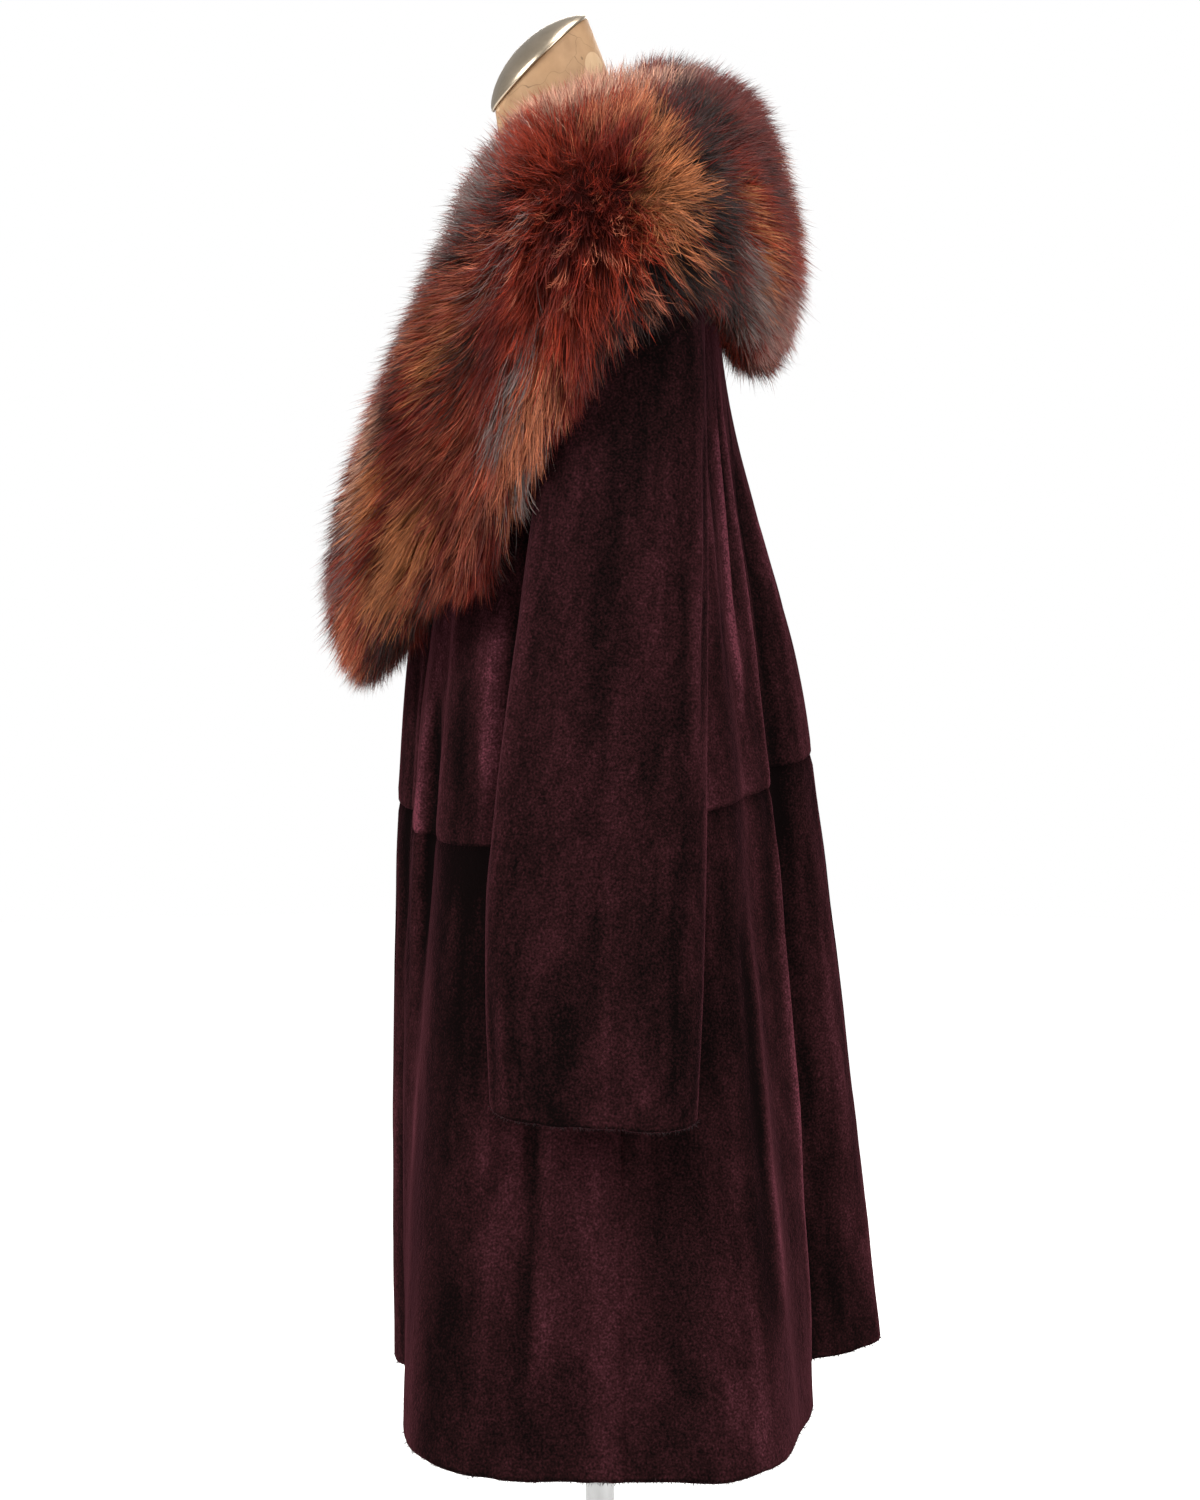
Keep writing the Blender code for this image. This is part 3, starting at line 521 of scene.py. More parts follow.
def closed_wall(name, outer, inner, tube=False):
    """Cloth between two grids of points, with its last edge round. A tube has no sides to close."""
    rows, columns = outer.shape[:2]
    edge = half_round(outer[-1], inner[-1], outer[-1] - outer[-2])
    points = np.concatenate([outer, edge, inner[::-1]])
    number = np.arange(points.shape[0] * columns).reshape(points.shape[:2])
    looped = np.concatenate([number, number[:1]])
    if tube:
        return turn_outward(add_mesh(name, points, grid_faces(closed_round(looped))))
    quads, triangles = [grid_faces(looped)], []
    for column, turn in ((0, 1), (columns - 1, -1)):
        out, back = number[:rows, column], number[rows + EDGE_STEPS :, column][::-1]
        quads.append(np.stack([out[:-1], out[1:], back[1:], back[:-1]], -1)[:, ::turn])
        ring = number[rows - 1 : rows + EDGE_STEPS + 1, column]
        fan = np.stack([np.full(len(ring) - 2, ring[0]), ring[1:-1], ring[2:]], -1)
        triangles.append(fan[:, ::turn])
    return turn_outward(add_mesh(name, points, np.concatenate(quads), np.concatenate(triangles)))


# ---------------------------------------------------------------- the sheared pile
PANEL_COLUMNS = {"front": 84, "back": 96}
YOKE_ROWS, ARM_ROWS, BODY_ROWS, LOWER_ROWS = 8, 20, 28, 32
COLUMN_PULL, ARM_PULL, LOWER_PULL = 0.25, 0.5, 0.3  # how far a grid's lines crowd towards its edges
SEAM_SINK = (0.0004, 0.003)  # how far the pile sinks at a seam, and how far from it
OPENING_SINK = (0.0030, 0.009)  # the same at the front edges
JOIN_SINK = {"upper": (0.0012, 0.004), "lower": (0.0016, 0.012)}  # the same at the join
JOIN_LIP, JOIN_REACH = 0.0014, 0.016  # the upper skins' pile stands over the lower ones
HEM_ROUND = PELT / 2
HEM_PER_DEGREE = 0.0055  # length of hem to a degree round the coat

# Tones of the pile, from 0, the darkest, to 1, the lightest.
BODY_TONE = 0.32
STRIP_TONE, STRIP_WIDTH = 0.05, 9.0  # strips of skin, and the degrees that one takes
BODY_NOISE = ((0.16, 7.0, 0.075, 40, 0, 22), (0.09, 2.2, 0.16, 0, 9, 23), (0.12, 1.6, 0.018, 0, 0, 24))
CREASE_SHADING = 95.0  # painted light on a crease's ridge and painted shade in its valley, per metre
CREASE_SHADING_ENDS = (-0.40, 0.46)
JOIN_LIGHT, JOIN_LIGHT_REACH = 0.16, 0.07  # painted light above the join, and partly the skins' own difference
JOIN_SHADE, JOIN_SHADE_REACH = 0.52, 0.09  # painted shade below the join, under the upper skins' pile, and partly the skins' own difference
JOIN_BACK_FADE = 0.45  # how much less the painted light and shade at the join, and the skins' difference, are at the back
# Painted shade on the cut edge and the inside of a wall.
EDGE_SHADE = 0.25


def crowded_ends(count, pull):
    """Shares from 0 to 1 that lie closer together at both ends."""
    even = np.linspace(0.0, 1.0, count)
    return (1 - pull) * even + pull * (1 - np.cos(math.pi * even)) / 2


def arm_open_angle(drop):
    pit = drop_of(ARM_PIT_Z)
    share = np.clip((drop - ARM_TOP_DROP) / (pit - ARM_TOP_DROP), 0.0, 1.0)
    return ARM_HALF_ANGLE * np.sin(math.pi * share) ** ARM_ROUNDNESS


def half_gap(gap, point):
    return gap / 2 / np.hypot(point[..., 0], point[..., 1])


def panel_angles(drops, part, shares):
    """Angles of a left panel's grid: a row for each drop, from its front edge to its back edge."""
    opening = np.radians(arm_open_angle(drops))
    side = np.full(len(drops), math.radians(SIDE_SEAM))
    if part == "front":
        first = np.radians(np.interp(drops, LAPEL["drop"], LAPEL["angle"]))
        first = first + half_gap(FRONT_OPENING, coat_point(first, drops))
        last = side - opening
    else:  # the pile closes over the seams, so the pieces meet
        first = side + opening
        last = np.full(len(drops), math.pi)
    return first[:, None] + (last - first)[:, None] * shares[None, :]


def sunk(distance, softness, reach):
    """How far the pile sinks this near an edge."""
    return softness * (1 - ease(distance / reach)) ** 2


def tone_of(angle, height, level, side_sign):
    """Tone of the pile: strips of skin, blotches and streaks, with painted light and shade on the creases and
    at the join, where the skins also differ.
    """
    turned = np.degrees(angle)
    across = turned / STRIP_WIDTH + 0.5 * soft_noise(turned / 14, height / 0.3, 21)
    strips = STRIP_TONE * np.cos(2 * math.pi * across)
    tone = layers(BODY_NOISE, turned, height, side_sign, BODY_TONE + strips)
    worn = angle if side_sign > 0 else 2 * math.pi - angle
    # Painted light on the creases' ridges and painted shade in their valleys.
    tone = tone + np.clip(CREASE_SHADING * crease_offset(worn, height), *CREASE_SHADING_ENDS)
    # Painted light above the join and painted shade below it, partly a real difference between the skins.
    gap = np.abs(height - join_height(angle))
    strength = 1 - JOIN_BACK_FADE * ease((turned - 90) / 30)
    if level == "upper":
        return tone + JOIN_LIGHT * strength * np.exp(-gap / JOIN_LIGHT_REACH)
    uneven = 0.75 + 0.45 * soft_noise(turned / 11, 3.0, 25)
    return tone - JOIN_SHADE * strength * uneven * np.exp(-gap / JOIN_SHADE_REACH)


def around_edge(tone):
    """The tone of a wall's outside, carried round its lower edge, which is darkened with painted shade, as is
    the inside.
    """
    cut = np.tile(tone[-1:] - EDGE_SHADE, (EDGE_STEPS, 1))
    return np.concatenate([tone, cut, tone[::-1] - EDGE_SHADE])


def ragged(run, side):
    """Unevenness of a cut edge of fur along its run, in metres."""
    row = 3.5 if side == "left" else 8.5
    return 0.0016 * soft_noise(run / 0.030, row, 51) + 0.0012 * soft_noise(run / 0.009, row, 52)


def coat_panel(part, level, side):
    """One cut piece of the coat's body, at the finish's resolution."""
    shares = crowded_ends(PANEL_COLUMNS[part], COLUMN_PULL)
    pit = drop_of(ARM_PIT_Z)
    if level == "upper":
        yoke = np.linspace(0.0, ARM_TOP_DROP, YOKE_ROWS + 1)[:-1]
        arm = ARM_TOP_DROP + (pit - ARM_TOP_DROP) * crowded_ends(ARM_ROWS, ARM_PULL)
        body = pit + (drop_of(JOIN_ROW_Z) - pit) * np.linspace(0.0, 1.0, BODY_ROWS + 1)[1:]
        level_rows = np.concatenate([yoke, arm, body])
        angles = panel_angles(level_rows, part, shares)
        reach = drop_of(join_height(angles[-1:])) - SEAM / 2 / DROP_STEP - level_rows[-1]
        bend = ease((level_rows - pit) / (level_rows[-1] - pit))
        drops = level_rows[:, None] + bend[:, None] * reach
    else:
        start, end = drop_of(JOIN_ROW_Z), drop_of(HEM_ROW_Z)
        down = crowded_ends(LOWER_ROWS, LOWER_PULL)
        angles = panel_angles(start + (end - start) * down, part, shares)
        seam = drop_of(join_height(angles)) + SEAM / 2 / DROP_STEP
        hem = drop_of(hem_height(angles) + HEM_ROUND + ragged(np.degrees(angles) * HEM_PER_DEGREE, side))
        drops = seam + (hem - seam) * down[:, None]
    turned = angles if side == "left" else 2 * math.pi - angles
    outer = coat_point(turned, drops, creased=True)
    normal = coat_normal(turned, drops, creased=True)
    run = np.cumsum(np.linalg.norm(np.diff(outer, axis=1), axis=-1), axis=1)
    run = np.concatenate([np.zeros((len(run), 1)), run], axis=1)
    first = OPENING_SINK if part == "front" else SEAM_SINK
    sink = sunk(run, *first) + sunk(run[:, -1:] - run, *SEAM_SINK)
    from_join = np.abs(outer[..., 2] - join_height(angles))
    if level == "upper":
        sink = sink - JOIN_LIP * np.exp(-from_join / JOIN_REACH)
    sink = sink + sunk(from_join, *JOIN_SINK[level])
    inner = outer - normal * PELT
    outer = outer - normal * sink[..., None]
    made = closed_wall(f"{part}_{level}_{side}_pile", outer, inner)
    tone = tone_of(angles, outer[..., 2], level, SIGN[side])
    set_float(made, "tone", around_edge(tone))
    if level == "upper":
        return made, []
    line, fall = (outer[-1] + inner[-1]) / 2, outer[-1] - outer[-2]
    seed = HEM_SEEDS[part] + int(SIGN[side])
    return made, [edge_fuzz(f"hem_{part}_{side}", line, normal[-1], fall, tone[-1], seed)]


# ---------------------------------------------------------------- sleeves
SLEEVE_AROUND = 88
SLEEVE_BETWEEN = 9
SLEEVE_CREASES = table(  # turn round the sleeve: 0 outside, 90 front, 180 inside, 270 back
    "turn_top turn_low top low depth width",
    (62, 70, 1.16, 0.80, 0.0022, 9),
    (95, 90, 1.10, 0.86, -0.0020, 8),
    (285, 292, 1.24, 0.98, -0.0026, 7),
    (300, 306, 1.18, 0.92, 0.0024, 8),
    (75, 66, 0.80, 0.70, -0.0022, 5),
    (58, 50, 0.82, 0.70, 0.0024, 5),
    (20, 10, 1.02, 0.78, 0.0018, 12),
    (335, 342, 1.00, 0.72, -0.0018, 9),
    (140, 150, 1.10, 0.90, -0.0040, 10),
    (215, 205, 1.02, 0.84, -0.0035, 10),
)
RIGHT_TURNS, RIGHT_LOW = (-7, 5), 0.02  # how the right sleeve's creases are shifted
SLEEVE_FADE = 0.05  # length over which a crease dies away at each end
SLEEVE_UNEVEN = ((0.0012, 24.0, 0.10, 0, 5, 31),)
SLEEVE_TONE = 0.37
SLEEVE_STRIP_TONE, SLEEVE_STRIP_WIDTH = 0.03, 30
SLEEVE_NOISE = ((0.12, 20, 0.075, 0, 3, 32), (0.07, 7, 0.15, 0, 3, 33), (0.12, 5, 0.018, 0, 0, 34))
SLEEVE_CREASE_SHADING = 0.7  # share of the body's painted light and shade on creases
# Darker above the first height, as painted shadow of the collar, and below the second, and lighter at the
# cuff:
# tone, start and reach, which is minus where it runs downward.
SLEEVE_SHADES = ((-0.18, 1.16, 0.14), (-0.12, 0.98, -0.12), (0.06, 0.765, -0.05))


def armhole_ring(distance, count):
    """Points of the armhole's edge, from the shoulder tip down the front to the armpit and back up."""
    half = count // 2
    shares = crowded_ends(half + 1, ARM_PULL)
    shares = np.concatenate([shares, shares[-2:0:-1]])
    side = np.concatenate([-np.ones(half + 1), np.ones(half - 1)])
    pit = drop_of(ARM_PIT_Z)
    drop = ARM_TOP_DROP + (pit - ARM_TOP_DROP) * shares
    edge = coat_point(np.full(len(drop), math.radians(SIDE_SEAM)), drop)
    open_half = np.radians(arm_open_angle(drop))
    open_half = np.maximum(open_half - ARM_SEAM / np.hypot(edge[:, 0], edge[:, 1]), 0.0)
    middle = (ARM_TOP_DROP + pit) / 2
    height = (pit - ARM_TOP_DROP) / 2 * DROP_STEP
    drop = middle + (drop - middle) * (1 - 2 * ARM_SEAM / height)
    return off_coat(math.radians(SIDE_SEAM) + side * open_half, drop, distance)


def sleeve_ring(row, shrink, count):
    outer_x, outer_z, inner_x, inner_z, front_y, back_y = row
    turn = round_angles(count)
    middle = np.array([(outer_x + inner_x) / 2, (front_y + back_y) / 2, (outer_z + inner_z) / 2])
    reach = np.array([(outer_x - inner_x) / 2, 0.0, (outer_z - inner_z) / 2])
    length = np.linalg.norm(reach)
    power = 2.0 / SLEEVE_SQUARENESS
    up = np.sign(np.cos(turn)) * np.abs(np.cos(turn)) ** power * (length - shrink)
    fore = -np.sign(np.sin(turn)) * np.abs(np.sin(turn)) ** power * ((back_y - front_y) / 2 - shrink)
    return middle + up[:, None] * reach / length + fore[:, None] * np.array([0.0, 1.0, 0.0])


def sleeve(side):
    outer, inner = [armhole_ring(0.0, SLEEVE_AROUND)], [armhole_ring(-PELT, SLEEVE_AROUND)]
    for row in rows_of(SLEEVE_RINGS):
        outer.append(sleeve_ring(row, 0.0, SLEEVE_AROUND))
        inner.append(sleeve_ring(row, PELT, SLEEVE_AROUND))
    for ring in (outer[-1], inner[-1]):
        from_front, from_back = ring[:, 1] - outer[-1][:, 1].min(), outer[-1][:, 1].max() - ring[:, 1]
        share = from_front / (from_front + from_back)
        corner = np.exp(-from_front / CUFF_CORNER) + np.exp(-from_back / CUFF_CORNER)
        ring[:, 2] += HEM_ROUND - CUFF_BACK_DROP * share + CUFF_CORNER * corner
        ring[:, 2] += ragged(ring[:, 1] + 0.3 * (ring[:, 0] > ring[:, 0].mean()), side)
    outer, inner = smooth_rings(outer, SLEEVE_BETWEEN), smooth_rings(inner, SLEEVE_BETWEEN)
    turn = np.degrees(round_angles(SLEEVE_AROUND))[None, :]
    height = outer[..., 2]
    out = unit(outer - inner)
    push = layers(SLEEVE_UNEVEN, turn, height, SIGN[side])
    for turn_top, turn_low, top, low, depth, width in rows_of(SLEEVE_CREASES):
        if side == "right":
            turn_top, turn_low, low = turn_top + RIGHT_TURNS[0], turn_low + RIGHT_TURNS[1], low + RIGHT_LOW
        centre, inside = crease_course(height, (turn_top, turn_low), top, low, SLEEVE_FADE)
        push = push + depth * inside * soft_ridge(turn, centre, width)
    grown = ease((np.arange(len(outer)) - SLEEVE_BETWEEN) / SLEEVE_BETWEEN)[:, None]
    moved = out * (push * grown)[..., None]
    outer, inner = outer + moved, inner + moved
    outer[0] -= out[0] * SEAM_SINK[0]
    if side == "right":
        outer[..., 0] *= -1
        inner[..., 0] *= -1
    made = closed_wall(f"sleeve_{side}_pile", outer, inner, tube=True)
    strips = SLEEVE_STRIP_TONE * np.cos(2 * math.pi * turn / SLEEVE_STRIP_WIDTH)
    tone = layers(SLEEVE_NOISE, turn, height, SIGN[side], SLEEVE_TONE + strips)
    # Painted light on the sleeve's raised creases and painted shade in its hollows.
    tone = tone + CREASE_SHADING * SLEEVE_CREASE_SHADING * push
    # Painted shadow of the collar on the sleeve's top, and the other changes of tone down the sleeve.
    for strength, start, reach in SLEEVE_SHADES:
        tone = tone + strength * ease((height - start) / reach)
    set_float(made, "tone", around_edge(tone))
    cuff, under, cuff_tone = [closed_round(grid)[-1] for grid in (outer, inner, tone)]
    fall = np.tile(np.array([0.0, 0.0, -1.0]), (len(cuff), 1))
    seed = CUFF_SEED + int(SIGN[side])
    return made, [edge_fuzz(f"cuff_{side}", (cuff + under) / 2, cuff - under, fall, cuff_tone, seed)]


# ---------------------------------------------------------------- the collar's skin and hair
def collar_bed(degrees, inner_drop, outer_z, count):
    """Line of the collar's skin on the coat, as (distance, height) from the neck to its outer edge."""
    angle = math.radians(degrees)
    outer_drop = drop_of(outer_z)
    if outer_z > KNEE_Z:
        over_shoulder = np.linspace(0.0, 1.0, SHOULDER_TRIES)
        falling = -coat_point(angle, over_shoulder)[:, 2]
        outer_drop = float(np.interp(-outer_z, falling, over_shoulder))
    share = np.linspace(0.0, 1.0, count)
    drops = inner_drop + (outer_drop - inner_drop) * share
    points = off_coat(angle, drops, COLLAR_LIFT)
    line = np.stack([np.hypot(points[:, 0], points[:, 1]), points[:, 2]], axis=-1)
    over = np.stack([smooth_table(SHOULDER_BED, share, name) for name in ("distance", "height")], axis=-1)
    late = ease((share - SHOULDER_REACH) / (1 - SHOULDER_REACH))
    over[:, 1] += (outer_z - SHOULDER_BED["height"][-1]) * late
    begin = ease((degrees - SHOULDER_FROM[0]) / (SHOULDER_FROM[1] - SHOULDER_FROM[0]))
    finish = ease((degrees - SHOULDER_TO[0]) / (SHOULDER_TO[1] - SHOULDER_TO[0]))
    return line + (over - line) * min(begin, finish)


COLLAR_STATIONS = 121
COLLAR_LINE = 65
SKIN = 0.0022
WOOL_SHARE = 0.60  # height of the dense wool between the skin and the hair's outline
WOOL_LOW = 0.06  # the same at the wool's underside
WHORL = np.array([0.300, -0.016, 1.366])  # where the hair parts on the shoulder


def collar_surfaces():
    """Grids of the left half: the hair's outline and the skin under it."""
    hair, skin = [], []
    for degrees in np.linspace(0.0, 180.0, COLLAR_STATIONS):
        at = {name: float(smooth_table(COLLAR_SECTIONS, degrees, name)) for name in COLLAR_SECTIONS}
        bed = collar_bed(degrees, at["inner_drop"], at["outer_z"], COLLAR_LINE)
        keys = [(at[key + "_r"], at[key + "_z"]) for key in HAIR_KEYS]
        line = through([bed[0], *keys, bed[-1]], COLLAR_LINE)
        angle = math.radians(degrees)
        for made, section in ((hair, line), (skin, bed)):
            radius, level = section[:, 0], section[:, 1]
            made.append(np.stack([radius * math.sin(angle), -radius * math.cos(angle), level], axis=-1))
    hair, skin = np.array(hair), np.array(skin)
    normal = unit(np.cross(np.gradient(hair, axis=1), np.gradient(hair, axis=0)))
    return hair, skin, normal


HAIR, BED, HAIR_NORMAL = collar_surfaces()
WOOL = BED + (HAIR - BED) * WOOL_SHARE


def srgb(red, green, blue):
    """A colour as the photo shows it, 0 to 255, in linear light."""
    value = np.array([red, green, blue]) / 255.0
    return np.where(value <= 0.04045, value / 12.92, ((value + 0.055) / 1.055) ** 2.4)


RUST = srgb(126, 42, 25)
DEEP_RUST = srgb(94, 27, 19)
ORANGE = srgb(158, 96, 59)
COPPER = srgb(166, 98, 68)
CLAY = srgb(136, 70, 50)
BLUSH = srgb(174, 130, 108)
ASH_ROSE = srgb(132, 98, 90)
SLATE = srgb(112, 98, 94)
CHARCOAL = srgb(42, 31, 29)
BURGUNDY = srgb(88, 36, 32)
PLUM = srgb(74, 42, 40)

# Dyed patches, painted one over the other. Each has its middle and its reach, as degrees round the
# collar and a share from the neck edge to the outer edge, and how fully it covers.
PATCHES = (
    (150, 0.16, 32, 0.14, PLUM, 0.7),
    (88, 0.25, 30, 0.15, BLUSH, 0.8),
    (122, 0.29, 30, 0.06, ASH_ROSE, 0.9),
    (112, 0.28, 18, 0.05, BLUSH, 0.7),
    (64, 0.57, 8, 0.10, CLAY, 0.7),
    (60, 0.73, 12, 0.08, CLAY, 0.6),
    (71, 0.82, 6, 0.06, CLAY, 0.75),
    (58, 0.875, 9, 0.045, CLAY, 0.8),
    (70, 0.36, 9, 0.08, RUST, 0.8),
    (90, 0.62, 15, 0.26, RUST, 0.7),
    (90, 0.66, 9, 0.14, DEEP_RUST, 0.8),
    (148, 0.50, 32, 0.18, BURGUNDY, 0.9),
    (126, 0.36, 14, 0.05, PLUM, 0.8),
    (172, 0.60, 7, 0.12, ORANGE, 0.8),
    (152, 0.82, 20, 0.12, ASH_ROSE, 0.8),
    (160, 0.93, 22, 0.06, CHARCOAL, 0.6),
    (176, 0.30, 8, 0.10, CHARCOAL, 0.8),
    (102, 0.50, 4.0, 0.16, ORANGE, 1.0),
    (101.5, 0.72, 4.0, 0.20, ORANGE, 1.0),
    (94, 0.465, 7.0, 0.045, COPPER, 0.8),
    (100, 0.39, 4.0, 0.06, COPPER, 0.8),
    (105, 0.45, 3.0, 0.05, CHARCOAL, 0.8),
    (101, 0.86, 4.0, 0.05, COPPER, 0.6),
    (116, 0.42, 7.0, 0.09, CHARCOAL, 0.9),
    (111, 0.60, 4.2, 0.20, CHARCOAL, 0.9),
    (107.5, 0.84, 4.0, 0.12, CHARCOAL, 0.9),
    (121, 0.74, 4.5, 0.08, ORANGE, 0.85),
    (133, 0.62, 5, 0.16, CHARCOAL, 0.6),
    (124, 0.83, 11, 0.08, SLATE, 0.8),
    (130, 0.76, 5, 0.08, COPPER, 0.5),
    (120, 0.93, 12, 0.05, CHARCOAL, 0.8),
    (48, 0.36, 24, 0.10, SLATE, 0.75),
    (58, 0.44, 8, 0.05, CHARCOAL, 0.6),
    (44, 0.50, 16, 0.05, COPPER, 0.5),
    (34, 0.56, 9, 0.08, BLUSH, 0.9),
    (72, 0.46, 5, 0.05, CHARCOAL, 0.6),
    (40, 0.64, 8, 0.06, ORANGE, 0.9),
    (46, 0.57, 7, 0.06, CHARCOAL, 0.6),
    (61, 0.585, 6, 0.035, ORANGE, 0.9),
    (66, 0.64, 6, 0.05, CHARCOAL, 0.45),
    (73, 0.55, 6, 0.03, SLATE, 0.4),
    (77, 0.755, 4, 0.05, SLATE, 0.75),
    (79, 0.85, 5, 0.06, COPPER, 0.9),
    (79, 0.955, 4, 0.04, SLATE, 0.85),
    (52, 0.80, 11, 0.075, ORANGE, 0.9),
    (34, 0.71, 7, 0.08, SLATE, 0.6),
    (30, 0.80, 9, 0.07, COPPER, 0.7),
    (38, 0.915, 18, 0.065, CHARCOAL, 0.8),
    (24, 0.66, 5, 0.14, CHARCOAL, 0.6),
    (58, 0.91, 5, 0.04, CHARCOAL, 0.6),
    (10, 0.30, 7, 0.16, ORANGE, 0.8),
    (12, 0.56, 8, 0.12, CHARCOAL, 0.75),
    (6, 0.74, 9, 0.10, COPPER, 0.7),
    (14, 0.90, 12, 0.07, SLATE, 0.6),
    (4, 0.46, 5, 0.08, BLUSH, 0.6),
    (100, 0.925, 13, 0.06, CHARCOAL, 0.95),
    (68, 0.97, 9, 0.03, CHARCOAL, 0.8),
)


def dyed(degrees, share, side_sign, dice):
    """Colour of hairs at these places. dice settles which of two neighbouring colours a hair takes."""
    wander = 2.5 * soft_noise(degrees / 5 + 30 * side_sign, share / 0.06, 41)
    drift = 0.025 * soft_noise(degrees / 5, share / 0.06 + 30 * side_sign, 42)
    turned, along = degrees + wander, share + drift
    shade = soft_noise(degrees / 11 + 17 * side_sign, share / 0.13, 43)[..., None]
    colour = np.where(shade > 0.15, RUST, DEEP_RUST) * np.ones((*np.shape(degrees), 3))
    for number, (angle, middle, reach_angle, reach_share, tint, cover) in enumerate(PATCHES):
        if side_sign < 0:  # the right half is dyed alike, but not the same
            angle, middle = angle + 6.0 * math.sin(7.0 * number), middle + 0.06 * math.cos(5.0 * number)
        away = ((turned - angle) / reach_angle) ** 2 + ((along - middle) / reach_share) ** 2
        chance = cover * np.clip(2.2 * (1.15 - away), 0.0, 1.0)
        colour = np.where((dice < chance)[..., None], tint, colour)
    return colour


def read_grid(grid, u, v):
    """A grid of points read between its knots. u and v run over its rows and columns."""
    i = np.clip(np.floor(u).astype(int), 0, grid.shape[0] - 2)
    j = np.clip(np.floor(v).astype(int), 0, grid.shape[1] - 2)
    a, b = np.clip(u - i, 0, 1)[..., None], np.clip(v - j, 0, 1)[..., None]
    upper = grid[i, j] * (1 - a) + grid[i + 1, j] * a
    lower = grid[i, j + 1] * (1 - a) + grid[i + 1, j + 1] * a
    return upper * (1 - b) + lower * b


def hair_places(count, low, high, rng):
    """Places spread evenly over the outline between two angles, in grid units."""
    first, last = [int(round(x / 180 * (COLLAR_STATIONS - 1))) for x in (low, high)]
    corner = HAIR[first : last + 1]
    size = np.linalg.norm(
        np.cross(corner[1:, :-1] - corner[:-1, :-1], corner[:-1, 1:] - corner[:-1, :-1]), axis=-1
    )
    chances = size.ravel() / size.sum()
    cell = rng.choice(len(chances), count, p=chances)
    u = first + cell // (COLLAR_LINE - 1) + rng.random(count)
    v = cell % (COLLAR_LINE - 1) + rng.random(count)
    return u, v


LOCK_HAIRS = 11
LOCK_SPREAD = 0.0038
HAIR_LENGTH, LOCK_LENGTHS, STRAND_LENGTHS = 0.044, (0.82, 1.15), (0.72, 1.12)
HAIR_WIDTH, STRAND_WIDTHS = 0.00044, (0.75, 1.3)
ROOT_BACK, TIP_AHEAD = 0.22, 0.40  # shares of a hair's length that it lies along the outline
TIP_LIFT, LIFT_SPREAD = 0.0050, 0.0025  # how far the hairs' tips stand out of the outline
WISP_SHARE, WISP_LIFT = 0.07, 0.0050  # single hairs that stand out further
STRAY = 0.0030  # how far hairs leave their lock
DROOP = np.array([0.0, 0.0, -0.003])  # how far the tips hang
STRAND_STEPS = (0.0, 0.40, 0.75, 1.0)  # places of a strand's points from its root to its tip

WHORL_CORE, NEAR_REACH, AROUND_REACH = 0.03, 0.07, 0.10  # the whorl's middle, and two reaches round it
SWING, SWING_NEAR = 0.26, 0.65  # how far a lock swings off the hair's lie, and how much more at the whorl
SHORT_NEAR = 0.38  # share by which hair is shorter at the whorl
THIN_WOOL, THIN_SHORT = 0.02, 0.38  # nearer than this to the wool, hair is up to this share shorter
CURLED_SHARE, CURL_TIP = 0.13, srgb(206, 118, 88)  # locks at the whorl with light curled tips
CURLED_LENGTH, CURLED_BUNCH, CURLED_LIFT, CURLED_BEND = 0.6, 0.9, 0.004, 0.6
BUNCH, BUNCH_NEAR, BUNCH_SPREAD = 0.22, 0.50, 0.25  # how closely a lock's tips come together
FRINGE_ANGLE, FRINGE_REACH, FRINGE_SHARE = 101.0, 13.0, 0.86  # longer hairs that hang over the sleeve
FRINGE_LENGTHS = (0.9, 1.9)

GUARD_SHARE, PALE_SHARE, WARM_SHARE = 0.16, 0.4, 0.14  # dark guard hairs, pale ones of them, warm tips
LOCK_SHADES, STRAND_SHADES = (0.62, 1.38), (0.65, 1.35)


def flow(place, normal):
    """Direction of the hair's lie: away from the whorl on the shoulder, and drawn down by its weight."""
    away = place - WHORL
    near_middle = ease(np.abs(place[..., :1]) / 0.13)
    away = away * np.concatenate([near_middle, np.ones_like(near_middle), np.ones_like(near_middle)], -1)
    far = np.linalg.norm(place - WHORL, axis=-1, keepdims=True)
    away = unit(away) + np.array([0.0, 0.0, -0.45]) * ease((far - 0.05) / 0.25)
    along = away - normal * (away * normal).sum(-1, keepdims=True)
    return unit(along), far[..., 0]


